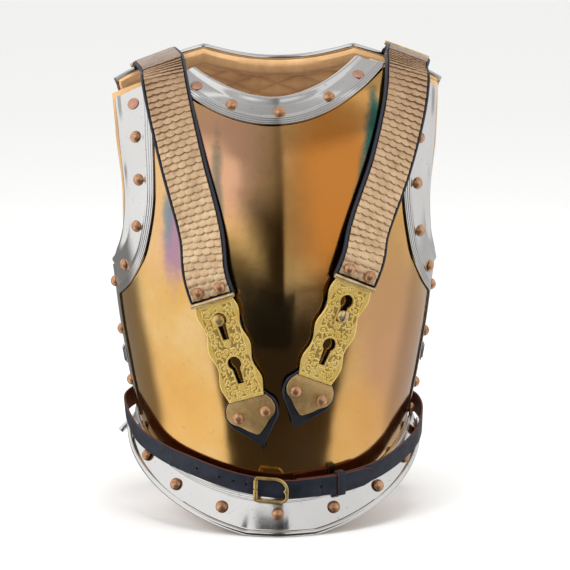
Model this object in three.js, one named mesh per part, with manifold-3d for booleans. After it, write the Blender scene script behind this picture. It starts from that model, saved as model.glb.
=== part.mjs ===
// A heavy-cavalry cuirass: a brass-clad breastplate and backplate with riveted steel borders and
// waist flanges, joined by two scaled shoulder straps and a waist belt, over a quilted lining.
//
// The frame is in millimetres. +Z is up, the breastplate faces -Y, and "left" is the -X side.
// The cuirass stands on the rims of its two waist flanges, which touch z = 0.

import * as THREE from 'three';
import { mergeVertices } from 'three/addons/utils/BufferGeometryUtils.js';
import Module from 'manifold-3d';

const wasm = await Module();
wasm.setup();

const { clamp, lerp, degToRad, smoothstep } = THREE.MathUtils;

// ---- Driving dimensions -------------------------------------------------------------------------

const PLATE = 2.4;              // thickness of a clad plate
const BORDER_WIDTH = 34;        // arm borders, rim to inner edge
const NECK_BORDER_WIDTH = 27;   // neck border of the breastplate, from its rim to the inner edge
const STRIP_WIDTH = 33;         // the breastplate's side strips
const STRIP = 1.6;              // thickness of a side strip
const STRIP_GAP = 0.6;          // under a side strip
const TOP_RIM_WIDTH = 16;       // the backplate's border along the shoulders
const LINING = 4.5;             // quilted lining, its thickness
const LINING_GAP = 3.2;         // between a plate and its lining
const LINING_PROUD = 5;         // how far the lining stands past the plates' edges
const NECK_ROLL = 5;            // extra thickness of the padded roll inside the back of the neck
const SIDE_ANGLE = degToRad(88);        // where the breastplate ends at the side
const FLANGE_ANGLE = degToRad(87);      // where the front flange ends
const BACK_FLANGE_ANGLE = degToRad(84); // where the back flange ends
const ARM_FOOT = 252;           // height of the foot of the armhole
const FLANGE_LAP = 7;           // how far a plate runs down behind its flange
const BEAD = 3.6;               // radius of the rolled rim of a flange
const RIVET_RADIUS = 6.5;
const RIVET_HEIGHT = 4.6;
const SMALL_RIVET_RADIUS = 5.2; // on the straps
const SMALL_RIVET_HEIGHT = 3.4;
const RIVET_SIDES = 8;
const BELT_WIDTH = 20;
const BELT = 2;                 // thickness of the belt leather
const LEATHER = 2.2;            // thickness of the strap leather
const STRAP_HALF = 23.5;        // half width of a shoulder strap
const PIPING = 3;               // width of a strap's raised edges
const SCALE_PITCH = 6.8;        // from one row of scales to the next
const METAL = 1.5;              // thickness of the straps' brass plates

// Breastplate: half width, depth in front of the side seam and how square the section is, by height.
const FRONT_SECTIONS = [
  { z: 20, halfWidth: 139, depth: 143, squareness: 2.0 },
  { z: 50, halfWidth: 140, depth: 147, squareness: 2.0 },
  { z: 95, halfWidth: 142, depth: 156, squareness: 2.05 },
  { z: 150, halfWidth: 151, depth: 164, squareness: 2.1 },
  { z: 200, halfWidth: 159, depth: 167, squareness: 2.15 },
  { z: 250, halfWidth: 165, depth: 165, squareness: 2.2 },
  { z: 300, halfWidth: 172, depth: 160, squareness: 2.35 },
  { z: 350, halfWidth: 180, depth: 149, squareness: 2.5 },
  { z: 400, halfWidth: 187, depth: 128, squareness: 2.6 },
  { z: 433, halfWidth: 188, depth: 103, squareness: 2.6 },
  { z: 452, halfWidth: 187, depth: 78, squareness: 2.6 },
  { z: 470, halfWidth: 186, depth: 46, squareness: 2.6 },
  { z: 485, halfWidth: 184, depth: 18, squareness: 2.6 },
];

// Backplate, in the same way.
const BACK_SECTIONS = [
  { z: 20, halfWidth: 133, depth: 104, squareness: 2.1 },
  { z: 50, halfWidth: 135, depth: 104, squareness: 2.1 },
  { z: 95, halfWidth: 137, depth: 106, squareness: 2.1 },
  { z: 150, halfWidth: 146, depth: 111, squareness: 2.15 },
  { z: 200, halfWidth: 154, depth: 119, squareness: 2.2 },
  { z: 250, halfWidth: 160, depth: 127, squareness: 2.25 },
  { z: 300, halfWidth: 172, depth: 132, squareness: 2.35 },
  { z: 350, halfWidth: 186, depth: 132, squareness: 2.5 },
  { z: 400, halfWidth: 196, depth: 122, squareness: 2.6 },
  { z: 440, halfWidth: 200, depth: 100, squareness: 2.6 },
  { z: 462, halfWidth: 200, depth: 80, squareness: 2.6 },
  { z: 480, halfWidth: 198, depth: 58, squareness: 2.6 },
  { z: 494, halfWidth: 196, depth: 40, squareness: 2.6 },
];

// Edge of each plate at the side and round the armhole: the section's angle at each height.
const FRONT_EDGE = [
  { z: 20, angle: 88 },
  { z: ARM_FOOT, angle: 88 },
  { z: 258, angle: 78 },
  { z: 272, angle: 67.5 },
  { z: 300, angle: 57 },
  { z: 345, angle: 51 },
  { z: 395, angle: 49.5 },
  { z: 437, angle: 51 },
  { z: 480, angle: 53 },
];
const BACK_EDGE = [
  { z: 20, angle: 94 },
  { z: ARM_FOOT, angle: 94 },
  { z: 257, angle: 82 },
  { z: 270, angle: 68 },
  { z: 300, angle: 57 },
  { z: 345, angle: 51 },
  { z: 395, angle: 50 },
  { z: 440, angle: 53 },
  { z: 480, angle: 55 },
];

// Neck and shoulders of each plate: heights, the share of the half width at the neck's corner, and
// how much higher the +X side stands.
const FRONT_TOP = { neck: 429.5, corner: 463, shoulder: 437, cornerShare: 0.5, lean: 5 };
const BACK_TOP = { neck: 458, corner: 472, shoulder: 436, cornerShare: 0.41, lean: 0 };

// Waist line and rim of the flanges: height at the middle, and the rise to the sides.
const FRONT_WAIST = { middle: 40, rise: 66, power: 1.0, level: 0 };
const BACK_WAIST = { middle: 52, rise: 50, power: 1.0, level: 0 };
const FRONT_RIM = { middle: 0, rise: 88, power: 0.8, level: 4 };
const BACK_RIM = { middle: 0, rise: 84, power: 1.1, level: 4 };
// How far each rim stands out from the plate: at the middle and at the side.
const FRONT_FLARE = { middle: 19, side: 8 };
const BACK_FLARE = { middle: 20, side: 12 };

// ---- Tools --------------------------------------------------------------------------------------

// One column of a table as a smooth curve of its key column, with no overshoot between rows.
function curveOf(rows, key, column) {
  const last = rows.length - 1;
  const rise = (i) => (rows[i + 1][column] - rows[i][column]) / (rows[i + 1][key] - rows[i][key]);
  const slopes = rows.map((_, i) => {
    if (i === 0) return rise(0);
    if (i === last) return rise(last - 1);
    const before = rise(i - 1);
    const after = rise(i);
    return before * after <= 0 ? 0 : (2 * before * after) / (before + after);
  });
  return (at) => {
    const k = clamp(at, rows[0][key], rows[last][key]);
    let i = 0;
    while (i < last - 1 && k > rows[i + 1][key]) i += 1;
    const span = rows[i + 1][key] - rows[i][key];
    const t = (k - rows[i][key]) / span;
    const t2 = t * t;
    const t3 = t2 * t;
    return (2 * t3 - 3 * t2 + 1) * rows[i][column] + (t3 - 2 * t2 + t) * span * slopes[i]
      + (3 * t2 - 2 * t3) * rows[i + 1][column] + (t3 - t2) * span * slopes[i + 1];
  };
}

// Evenly spaced numbers from a to b, both included.
function steps(a, b, count) {
  return Array.from({ length: count + 1 }, (_, i) => lerp(a, b, i / count));
}

// A geometry from vertices and triangles, turned so that its faces point out.
function solid(points, triangles) {
  let volume = 0;
  for (const [a, b, c] of triangles) {
    volume += points[a].dot(new THREE.Vector3().crossVectors(points[b], points[c]));
  }
  const index = triangles.flatMap(([a, b, c]) => (volume < 0 ? [a, c, b] : [a, b, c]));
  const geometry = new THREE.BufferGeometry().setFromPoints(points);
  geometry.setIndex(index);
  return geometry;
}

// Triangles that fill a nearly flat ring of points, all turned as the ring runs.
function fill(ring) {
  const normal = new THREE.Vector3();
  ring.forEach((p, i) => {
    normal.add(new THREE.Vector3().crossVectors(p, ring[(i + 1) % ring.length]));
  });
  normal.normalize();
  const right = new THREE.Vector3(normal.y, -normal.x, 0);
  if (right.lengthSq() < 0.01) right.set(1, 0, 0);
  right.addScaledVector(normal, -right.dot(normal)).normalize();
  const up = new THREE.Vector3().crossVectors(normal, right);
  const flat = ring.map((p) => new THREE.Vector2(p.dot(right), p.dot(up)));
  return THREE.ShapeUtils.triangulateShape(flat, []).map(([a, b, c]) => {
    const turn = (flat[b].x - flat[a].x) * (flat[c].y - flat[a].y)
      - (flat[b].y - flat[a].y) * (flat[c].x - flat[a].x);
    return turn > 0 ? [a, b, c] : [a, c, b];
  });
}

// A bar through a row of rings, each the same number of points, closed at both ends.
function loft(rings) {
  const size = rings[0].length;
  const triangles = [];
  for (let r = 0; r + 1 < rings.length; r += 1) {
    for (let i = 0; i < size; i += 1) {
      const j = (i + 1) % size;
      const [a, b, c, d] = [r * size + i, r * size + j, (r + 1) * size + j, (r + 1) * size + i];
      triangles.push([a, b, c], [a, c, d]);
    }
  }
  const end = (rings.length - 1) * size;
  fill(rings[0]).forEach(([a, b, c]) => triangles.push([a, c, b]));
  fill(rings[rings.length - 1]).forEach(([a, b, c]) => triangles.push([end + a, end + b, end + c]));
  return solid(rings.flat(), triangles);
}

// A closed shell between two grids of points, outer[row][column] and inner[row][column].
function shell(outer, inner) {
  const rows = outer.length;
  const columns = outer[0].length;
  const points = [...outer.flat(), ...inner.flat()];
  const under = rows * columns;
  const triangles = [];
  const quad = (a, b, c, d) => triangles.push([a, b, c], [a, c, d]);
  for (let r = 0; r + 1 < rows; r += 1) {
    for (let c = 0; c + 1 < columns; c += 1) {
      const a = r * columns + c;
      quad(a, a + 1, a + columns + 1, a + columns);
      quad(under + a, under + a + columns, under + a + columns + 1, under + a + 1);
    }
  }
  for (let c = 0; c + 1 < columns; c += 1) {
    const top = (rows - 1) * columns + c;
    quad(c, under + c, under + c + 1, c + 1);
    quad(top, top + 1, under + top + 1, under + top);
  }
  for (let r = 0; r + 1 < rows; r += 1) {
    const left = r * columns;
    const right = left + columns - 1;
    quad(left, left + columns, under + left + columns, under + left);
    quad(right, under + right, under + right + columns, right + columns);
  }
  return solid(points, triangles);
}

// Joining and cutting of closed geometries.
function toManifold(geometry) {
  const bare = new THREE.BufferGeometry();
  bare.setAttribute('position', geometry.getAttribute('position'));
  bare.setIndex(geometry.getIndex());
  const merged = mergeVertices(bare, 1e-4);
  return new wasm.Manifold(new wasm.Mesh({
    numProp: 3,
    vertProperties: new Float32Array(merged.getAttribute('position').array),
    triVerts: new Uint32Array(merged.getIndex().array),
  }));
}

function fromManifold(body) {
  const { numProp, vertProperties, triVerts } = body.getMesh();
  const positions = [];
  for (let i = 0; i < vertProperties.length; i += numProp) {
    positions.push(vertProperties[i], vertProperties[i + 1], vertProperties[i + 2]);
  }
  const geometry = new THREE.BufferGeometry();
  geometry.setAttribute('position', new THREE.Float32BufferAttribute(positions, 3));
  geometry.setIndex([...triVerts]);
  return geometry;
}

function joined(...geometries) {
  return fromManifold(geometries.map(toManifold).reduce((whole, piece) => whole.add(piece)));
}

function cut(geometry, ...cutters) {
  const whole = toManifold(geometry);
  return fromManifold(cutters.map(toManifold).reduce((rest, piece) => rest.subtract(piece), whole));
}

// ---- The plates' surfaces -----------------------------------------------------------------------

// The outer surface of a plate. facing is -1 for the breastplate and +1 for the backplate. An angle
// of 0 is the middle of the plate, and positive angles are on the +X side. middle(z) is the X of
// the middle at each height.
function plateSurface(sections, facing, ridge, middle) {
  const halfWidth = curveOf(sections, 'z', 'halfWidth');
  const depth = curveOf(sections, 'z', 'depth');
  const squareness = curveOf(sections, 'z', 'squareness');
  const skin = (angle, z) => {
    const n = squareness(z);
    const s = Math.sin(angle);
    const c = Math.cos(angle);
    const reach = (Math.abs(s) ** n + Math.abs(c) ** n) ** (-1 / n);
    const keel = ridge.height * Math.exp(-Math.hypot(angle, ridge.rounding) / ridge.spread);
    const x = middle(z) + halfWidth(z) * reach * s;
    return new THREE.Vector3(x, facing * (depth(z) * reach * c + keel), z);
  };
  const STEP = 1e-3;
  const frame = (angle, z) => {
    const along = skin(angle + STEP, z).sub(skin(angle - STEP, z)).divideScalar(2 * STEP);
    const up = skin(angle, z + STEP).sub(skin(angle, z - STEP)).divideScalar(2 * STEP);
    const normal = new THREE.Vector3().crossVectors(along, up).multiplyScalar(-facing).normalize();
    return { along, up, normal };
  };
  const at = (angle, z, lift = 0) => skin(angle, z).addScaledVector(frame(angle, z).normal, lift);
  // The angle at which the plate passes a given X at a given height.
  const angleAt = (x, z) => {
    let low = degToRad(-95);
    let high = degToRad(95);
    for (let i = 0; i < 40; i += 1) {
      const mid = (low + high) / 2;
      if (skin(mid, z).x < x) low = mid;
      else high = mid;
    }
    return (low + high) / 2;
  };
  return { skin, frame, at, angleAt };
}

const RIDGE = { height: 9, rounding: 0.03, spread: 0.42 };
const NO_RIDGE = { height: 0, rounding: 1, spread: 1 };
const BACK_LEAN = 9;            // the backplate's shoulders stand this far to +X
const front = plateSurface(FRONT_SECTIONS, -1, RIDGE, () => 0);
const back = plateSurface(BACK_SECTIONS, 1, NO_RIDGE, (z) => BACK_LEAN * smoothstep(z, 235, 440));

// Walks a distance over a surface from one angle and height, keeping to a heading in space.
const WALK_STEPS = 5;
function walk(surface, from, heading, distance) {
  let { angle, z } = from;
  const course = heading.clone();
  for (let i = 0; i < WALK_STEPS; i += 1) {
    const { along, up, normal } = surface.frame(angle, z);
    course.addScaledVector(normal, -course.dot(normal)).normalize();
    const aa = along.dot(along);
    const au = along.dot(up);
    const uu = up.dot(up);
    const ha = (along.dot(course) * distance) / WALK_STEPS;
    const hu = (up.dot(course) * distance) / WALK_STEPS;
    const det = aa * uu - au * au;
    angle += (ha * uu - hu * au) / det;
    z += (hu * aa - ha * au) / det;
  }
  return { angle, z };
}

// Height of a waist line or rim round the body: it dips in the middle, where it may be level.
function dip({ middle, rise, power, level }) {
  return (angle) => middle + Math.max(0, rise * (1 - Math.cos(angle)) ** power - level);
}

// The outline of a plate, from its share across (-1 to 1) and its share of the height (0 to 1).
function outline(edgeRows, top, waist, proud = 0, sideLimit = 95) {
  const edgeDegrees = curveOf(edgeRows, 'z', 'angle');
  const edge = (z) => degToRad(Math.min(edgeDegrees(z - proud), sideLimit)) + proud / 400;
  const topAt = (share) => {
    const s = Math.abs(share);
    const { neck, corner, shoulder, cornerShare, lean } = top;
    const leaning = lean * clamp(share / cornerShare, -1, 1);
    if (s < cornerShare) return lerp(neck, corner, (s / cornerShare) ** 2) + leaning + proud;
    return lerp(corner, shoulder, (s - cornerShare) / (1 - cornerShare)) + leaning + proud;
  };
  const waistAt = dip(waist);
  const place = (share, rise) => {
    const low = waistAt(share * edge(waist.middle)) - FLANGE_LAP;
    const z = lerp(low, topAt(share), rise);
    return { angle: share * edge(z), z };
  };
  return { edge, topAt, waistAt, place };
}

const frontOutline = outline(FRONT_EDGE, FRONT_TOP, FRONT_WAIST);
const backOutline = outline(BACK_EDGE, BACK_TOP, BACK_WAIST);

// A route over a surface: places (angle, z) spaced evenly by their distance in space.
function evenRoute(surface, places, count) {
  const reach = [0];
  places.slice(1).forEach((place, i) => {
    const from = surface.skin(places[i].angle, places[i].z);
    reach.push(reach[i] + from.distanceTo(surface.skin(place.angle, place.z)));
  });
  return steps(0, reach[reach.length - 1], count).map((goal) => {
    let i = 0;
    while (i < reach.length - 2 && goal > reach[i + 1]) i += 1;
    const t = clamp((goal - reach[i]) / (reach[i + 1] - reach[i]), 0, 1);
    const [start, end] = [places[i], places[i + 1]];
    return { angle: lerp(start.angle, end.angle, t), z: lerp(start.z, end.z, t) };
  });
}

// ---- Plates and linings -------------------------------------------------------------------------

// Rows of a plate's grid, as shares of its height, close together at the foot of the armhole.
const PLATE_ROWS = [0, 0.08, 0.16, 0.25, 0.35, 0.43, 0.47, 0.5, 0.55, 0.62, 0.71, 0.8, 0.87, 0.93, 1];
const FRONT_COLUMNS = 18;
const BACK_COLUMNS = 14;

function grid(surface, border, rows, columns, lift) {
  return rows.map((rise) => steps(-1, 1, columns).map((share) => {
    const { angle, z } = border.place(share, rise);
    return surface.at(angle, z, lift(share, rise));
  }));
}

function plate(surface, border, columns) {
  return shell(
    grid(surface, border, PLATE_ROWS, columns, () => 0),
    grid(surface, border, PLATE_ROWS, columns, () => -PLATE),
  );
}

const LINING_COLUMNS = 8;

// The quilted lining follows the plate's inside and stands past its edges. roll is the extra
// thickness of the padded roll inside the neck.
function lining(surface, edgeRows, top, waist, roll, sideLimit) {
  const border = outline(edgeRows, top, waist, LINING_PROUD, sideLimit);
  const outside = -(PLATE + LINING_GAP);
  const inside = (share, rise) => {
    const swell = smoothstep(rise, 0.86, 0.96) * smoothstep(-Math.abs(share), -0.7, -0.4);
    return outside - LINING - roll * swell;
  };
  return shell(
    grid(surface, border, PLATE_ROWS, LINING_COLUMNS, () => outside),
    grid(surface, border, PLATE_ROWS, LINING_COLUMNS, inside),
  );
}

// ---- Steel borders ------------------------------------------------------------------------------

// Section of a border: the share of its width from the rim (0) to the inner edge (1), and the
// height above the plate. A rolled rim wraps the plate's edge, and the inner edge has a raised line.
const BORDER_SECTION = [
  { across: 1, lift: 0.9 },
  { across: 0.66, lift: 0.8 },
  { across: 0.33, lift: 0.8 },
  { across: -0.055, lift: 0.7 },
  { across: -0.055, lift: -3 },
  { across: -0.14, lift: -2.7 },
  { across: -0.2, lift: 0 },
  { across: -0.16, lift: 2.8 },
  { across: -0.06, lift: 4.0 },
  { across: 0.05, lift: 3.4 },
  { across: 0.1, lift: 2.1 },
  { across: 0.44, lift: 2.1 },
  { across: 0.79, lift: 2.1 },
  { across: 0.81, lift: 2.8 },
  { across: 1, lift: 2.6 },
];
const BAND_TOP = 2.1;

// The rings of a border between its rim and its inner edge, which are rows of places.
function border(surface, rim, inner) {
  return loft(rim.map((edge, i) => BORDER_SECTION.map(({ across, lift }) => {
    const angle = lerp(edge.angle, inner[i].angle, across);
    const z = lerp(edge.z, inner[i].z, across);
    return surface.at(angle, z, lift);
  })));
}

const spot = (surface, { angle, z }) => surface.skin(angle, z);

// The inner edge of a border: from each place of the rim a walk inward, square to the rim. At each
// end the heading turns into the one given.
function innerEdge(surface, rim, widths, inward, startHeading, endHeading) {
  const last = rim.length - 1;
  return rim.map((place, i) => {
    const before = spot(surface, rim[Math.max(i - 1, 0)]);
    const after = spot(surface, rim[Math.min(i + 1, last)]);
    const { normal } = surface.frame(place.angle, place.z);
    const square = new THREE.Vector3().crossVectors(after.sub(before), normal);
    square.multiplyScalar(inward).normalize();
    const atStart = startHeading ? 1 - smoothstep(i / last, 0, 0.2) : 0;
    const atEnd = endHeading ? smoothstep(i / last, 0.8, 1) : 0;
    if (startHeading) square.lerp(startHeading, atStart);
    if (endHeading) square.lerp(endHeading, atEnd);
    return walk(surface, place, square.normalize(), widths(i / last));
  });
}

const NECK_STEPS = 16;
const ARM_STEPS = 16;

// The neck border of the breastplate ends along the shoulder lines.
function frontNeckPlaces() {
  const { cornerShare } = FRONT_TOP;
  const places = steps(-cornerShare, cornerShare, 60).map((share) => {
    const z = frontOutline.topAt(share);
    return { angle: share * frontOutline.edge(z), z };
  });
  return evenRoute(front, places, NECK_STEPS);
}

// The direction in which a plate's shoulder line falls away from the neck.
function shoulderHeading(surface, border, top, side) {
  const place = (share) => {
    const z = border.topAt(side * share);
    return { angle: side * share * border.edge(z), z };
  };
  return spot(surface, place(1)).sub(spot(surface, place(top.cornerShare + 0.1))).normalize();
}

function frontNeck() {
  const rim = frontNeckPlaces();
  const toLeft = shoulderHeading(front, frontOutline, FRONT_TOP, -1);
  const toRight = shoulderHeading(front, frontOutline, FRONT_TOP, 1);
  const inner = innerEdge(front, rim, () => NECK_BORDER_WIDTH, 1, toLeft, toRight);
  return { rim, inner };
}

// The side strip's inner edge, at each height.
function stripEdge(z) {
  return SIDE_ANGLE - STRIP_WIDTH / front.frame(degToRad(80), z).along.length();
}

// The height at which the armhole's edge meets the side strip's inner edge.
function stripTop() {
  let low = ARM_FOOT;
  let high = ARM_FOOT + 40;
  for (let i = 0; i < 30; i += 1) {
    const mid = (low + high) / 2;
    if (frontOutline.edge(mid) > stripEdge(mid)) low = mid;
    else high = mid;
  }
  return (low + high) / 2;
}

const SEAM = 0.004;             // angle of the seam between an arm border and a side strip

// The arm border of the breastplate runs from the shoulder line down to the side strip.
function frontArm(side) {
  const top = frontOutline.topAt(side);
  const foot = stripTop() + 1;
  const places = steps(top, foot, 120).map((z) => ({ angle: side * frontOutline.edge(z), z }));
  const rim = evenRoute(front, places, ARM_STEPS);
  const toNeck = shoulderHeading(front, frontOutline, FRONT_TOP, side).negate();
  const down = new THREE.Vector3(0, 0, -1);
  const inner = innerEdge(front, rim, () => BORDER_WIDTH, side, toNeck, down);
  const last = rim.length - 1;
  rim[last].angle = side * (stripEdge(foot) - SEAM);
  const low = foot - BORDER_WIDTH;
  inner[last] = { angle: side * (stripEdge(low) - SEAM), z: low };
  return { rim, inner };
}

const STRIP_ROWS = 7;
const STRIP_COLUMNS = 4;

// A side strip: a flat band along the breastplate's side, from the flange to the armhole.
function sideStrip(side) {
  const rows = (lift) => steps(0, 1, STRIP_ROWS).map((rise) => steps(0, 1, STRIP_COLUMNS).map((across) => {
    const edgeAngle = lerp(stripEdge(ARM_FOOT), SIDE_ANGLE, across);
    let high = ARM_FOOT;
    while (frontOutline.edge(high + 0.5) > edgeAngle) high += 0.5;
    const low = frontOutline.waistAt(SIDE_ANGLE) + 1 - 6 * (1 - across);
    const z = lerp(low, high, rise);
    const angle = side * lerp(stripEdge(z), SIDE_ANGLE, across);
    return front.at(angle, z, lift);
  }));
  return shell(rows(STRIP_GAP + STRIP), rows(STRIP_GAP));
}

// The backplate's top border runs the whole way along the shoulders and the neck.
const BACK_TOP_STEPS = 18;
function backTop() {
  const places = steps(-1, 1, 90).map((share) => {
    const z = backOutline.topAt(share);
    return { angle: share * backOutline.edge(z), z };
  });
  const rim = evenRoute(back, places, BACK_TOP_STEPS);
  const width = (t) => lerp(TOP_RIM_WIDTH, BORDER_WIDTH, smoothstep(-Math.abs(2 * t - 1), -0.62, -0.3));
  const inner = innerEdge(back, rim, width, -1, null, null);
  return { rim, inner };
}

const BACK_ARM_STEPS = 10;
function backArm(side) {
  const top = backOutline.topAt(side) - TOP_RIM_WIDTH - 3;
  const places = steps(top, ARM_FOOT + 3, 90).map((z) => ({ angle: side * backOutline.edge(z), z }));
  const rim = evenRoute(back, places, BACK_ARM_STEPS);
  const toNeck = shoulderHeading(back, backOutline, BACK_TOP, side).negate();
  const inner = innerEdge(back, rim, () => BORDER_WIDTH * 0.8, -side, toNeck, new THREE.Vector3(0, 0, -1));
  return { rim, inner };
}

// ---- Waist flanges ------------------------------------------------------------------------------

// Section of a flange's sheet: the share of the way down from the waist line to the rolled rim.
const FLANGE_OUTSIDE = [
  { down: 0, lift: 2.6 },
  { down: 0.2, lift: 2.8 },
  { down: 0.22, lift: 2.1 },
  { down: 0.6, lift: 2.1 },
  { down: 1, lift: 2.1 },
];
const FLANGE_INSIDE = [
  { down: 1, lift: 0.7 },
  { down: 0.66, lift: 0.7 },
  { down: 0.33, lift: 0.7 },
  { down: 0, lift: 0.7 },
];
// The rolled rim, from its outer to its inner side: distance out and up from its centre.
const BEAD_SECTION = [
  { out: 0.75, up: 0.8 },
  { out: 1, up: 0 },
  { out: 0.7, up: -1 },
  { out: -0.5, up: -1 },
  { out: -1, up: -0.2 },
  { out: -0.8, up: 0.7 },
];
const FLARE_POWER = 1.25;       // the flange curls outward towards its rim

function flangeShape(surface, waist, rim, flare, endAngle) {
  const waistAt = dip(waist);
  const rimAt = dip(rim);
  const sheet = (angle, down, lift) => {
    const share = Math.abs(angle) / endAngle;
    const reach = lerp(flare.middle, flare.side, share ** 2);
    const z = lerp(waistAt(angle), rimAt(angle) + BEAD, down);
    return surface.at(angle, z, lift + reach * down ** FLARE_POWER);
  };
  const ring = (angle) => {
    const outward = surface.frame(angle, FRONT_SECTIONS[0].z).normal.clone().setZ(0).normalize();
    const centre = sheet(angle, 1, 1.3);
    centre.z = rimAt(angle) + BEAD;
    const bead = BEAD_SECTION.map(({ out, up }) => {
      const p = centre.clone().addScaledVector(outward, out * BEAD);
      p.z += up * BEAD;
      return p;
    });
    const outside = FLANGE_OUTSIDE.slice(0, -1).map(({ down, lift }) => sheet(angle, down, lift));
    const inside = FLANGE_INSIDE.slice(1).map(({ down, lift }) => sheet(angle, down, lift));
    return [...outside, ...bead, ...inside];
  };
  return { sheet, ring };
}

const frontFlange = flangeShape(front, FRONT_WAIST, FRONT_RIM, FRONT_FLARE, FLANGE_ANGLE);
const backFlange = flangeShape(back, BACK_WAIST, BACK_RIM, BACK_FLARE, BACK_FLANGE_ANGLE);
const FLANGE_STEPS = 20;

// ---- Rivets -------------------------------------------------------------------------------------

function dome(radius, height) {
  const profile = [[0, 0], [radius, 0], [radius * 0.78, height * 0.7], [0, height]];
  const geometry = new THREE.LatheGeometry(profile.map(([r, h]) => new THREE.Vector2(r, h)), RIVET_SIDES);
  return geometry.rotateX(Math.PI / 2);
}

// A geometry with its own +Z axis, stood on a point with its axis along a normal.
function stood(geometry, point, normal) {
  const turn = new THREE.Quaternion().setFromUnitVectors(new THREE.Vector3(0, 0, 1), normal);
  return geometry.applyQuaternion(turn).translate(point.x, point.y, point.z);
}

// The height above the plate, and the normal, at the middle of a border's band.
function bandSpot(surface, band, t, across, lift) {
  const at = t * (band.rim.length - 1);
  const i = Math.min(Math.floor(at), band.rim.length - 2);
  const mix = (key) => {
    const start = lerp(band.rim[i][key], band.inner[i][key], across);
    const end = lerp(band.rim[i + 1][key], band.inner[i + 1][key], across);
    return lerp(start, end, at - i);
  };
  const angle = mix('angle');
  const z = mix('z');
  return { point: surface.at(angle, z, lift), normal: surface.frame(angle, z).normal };
}

// ---- Tracks: straps and belt --------------------------------------------------------------------

// A strip's centre line on its underside, as a smooth curve through stations (point and normal).
// at(distance) gives the place, the direction ahead, the direction across and the normal.
function track(stations) {
  const curve = new THREE.CatmullRomCurve3(stations.map(({ point }) => point), false, 'centripetal');
  curve.arcLengthDivisions = 600;
  const length = curve.getLength();
  const at = (distance) => {
    const t = curve.getUtoTmapping(0, clamp(distance, 0, length));
    const ahead = curve.getTangent(t);
    const origin = curve.getPoint(t);
    const place = t * (stations.length - 1);
    const i = Math.min(Math.floor(place), stations.length - 2);
    const normal = stations[i].normal.clone().lerp(stations[i + 1].normal, place - i);
    normal.addScaledVector(ahead, -normal.dot(ahead)).normalize();
    return { origin, ahead, normal, across: new THREE.Vector3().crossVectors(ahead, normal) };
  };
  return { length, at };
}

const onFrame = ({ origin, across, normal }, w, h) => (
  origin.clone().addScaledVector(across, w).addScaledVector(normal, h)
);

// A strip along a track. Each row has the distance along it and its section's points [across, up].
function sweep(line, rows) {
  return loft(rows.map(({ at, section }) => {
    const frame = line.at(at);
    return section.map(([w, h]) => onFrame(frame, w, h));
  }));
}

const slab = (half, low, high) => [[-half, low], [half, low], [half, high], [-half, high]];

// A station on a plate, lifted off it.
function onPlate(surface, x, z, lift) {
  const angle = surface.angleAt(x, z);
  return { point: surface.at(angle, z, lift), normal: surface.frame(angle, z).normal };
}

// ---- Shoulder straps ----------------------------------------------------------------------------

// Distances down from the bar along the straight end.
const KEYHOLES = [20.5, 66.5];  // centres of the round parts
const KEYHOLE_RADIUS = 7;
const SLOT_HALF = 3.4;
const SLOT_LENGTH = 21;         // from the round part's centre to the slot's end
const PLATE_END = 104;          // lower edge of the keyhole plate
const TIP_RIVETS = 121;
const TIP_RIVET_HALF = 14.8;
const SCALE_RIVETS = -11;       // above the bar
const SCALE_RIVET_HALF = 11.6;
const CUSP = 142;               // point of the tip plate

// Each strap's front end is straight from its bar to its tip, and from there it follows a route over
// the chest, the shoulder and the back. Points on a plate have X, Z and the lift off the plate.
// Points over the shoulder have X, Y and Z, and tilt outward with the shoulder.
const STRAPS = {
  l: {
    side: -1,
    bar: { x: -64, z: 241 },
    tip: { x: -16, z: 95 },
    chest: [
      { x: -76, z: 303, lift: 4.2 },
      { x: -93.5, z: 370, lift: 4.5 },
      { x: -106, z: 421, lift: 6 },
      { x: -111, z: 443, lift: 8.5 },
    ],
    shoulder: [
      { x: -114, y: -45, z: 461.5 },
      { x: -118, y: -15, z: 464.5 },
      { x: -120.5, y: 20, z: 464.5 },
      { x: -122, y: 56, z: 462 },
      { x: -122, y: 88, z: 455 },
    ],
    back: [
      { x: -120, z: 428, lift: 7 },
      { x: -116, z: 394, lift: 4.6 },
      { x: -113, z: 372, lift: 4 },
    ],
    backBarY: 86,
    studDown: KEYHOLES[0],
  },
  r: {
    side: 1,
    bar: { x: 69, z: 257 },
    tip: { x: 10.5, z: 113 },
    chest: [
      { x: 84.5, z: 306, lift: 4.2 },
      { x: 107, z: 366, lift: 4.5 },
      { x: 124, z: 421, lift: 6 },
      { x: 129.5, z: 446, lift: 9 },
    ],
    shoulder: [
      { x: 134, y: -39, z: 463.5 },
      { x: 138.5, y: -12, z: 467 },
      { x: 142, y: 20, z: 467 },
      { x: 143, y: 56, z: 464 },
      { x: 142, y: 88, z: 456 },
    ],
    back: [
      { x: 139, z: 428, lift: 7 },
      { x: 134, z: 394, lift: 4.6 },
      { x: 130, z: 372, lift: 4 },
    ],
    backBarY: 60,
    studDown: KEYHOLES[0] + 15,
  },
};
const SHOULDER_TILT = degToRad(20);
const TIP_CLEARANCE = 1.2;      // between the breastplate and the straight end of a strap
const STRAIGHT_RUN = 25;        // the strap stays straight this far above its bar

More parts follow.
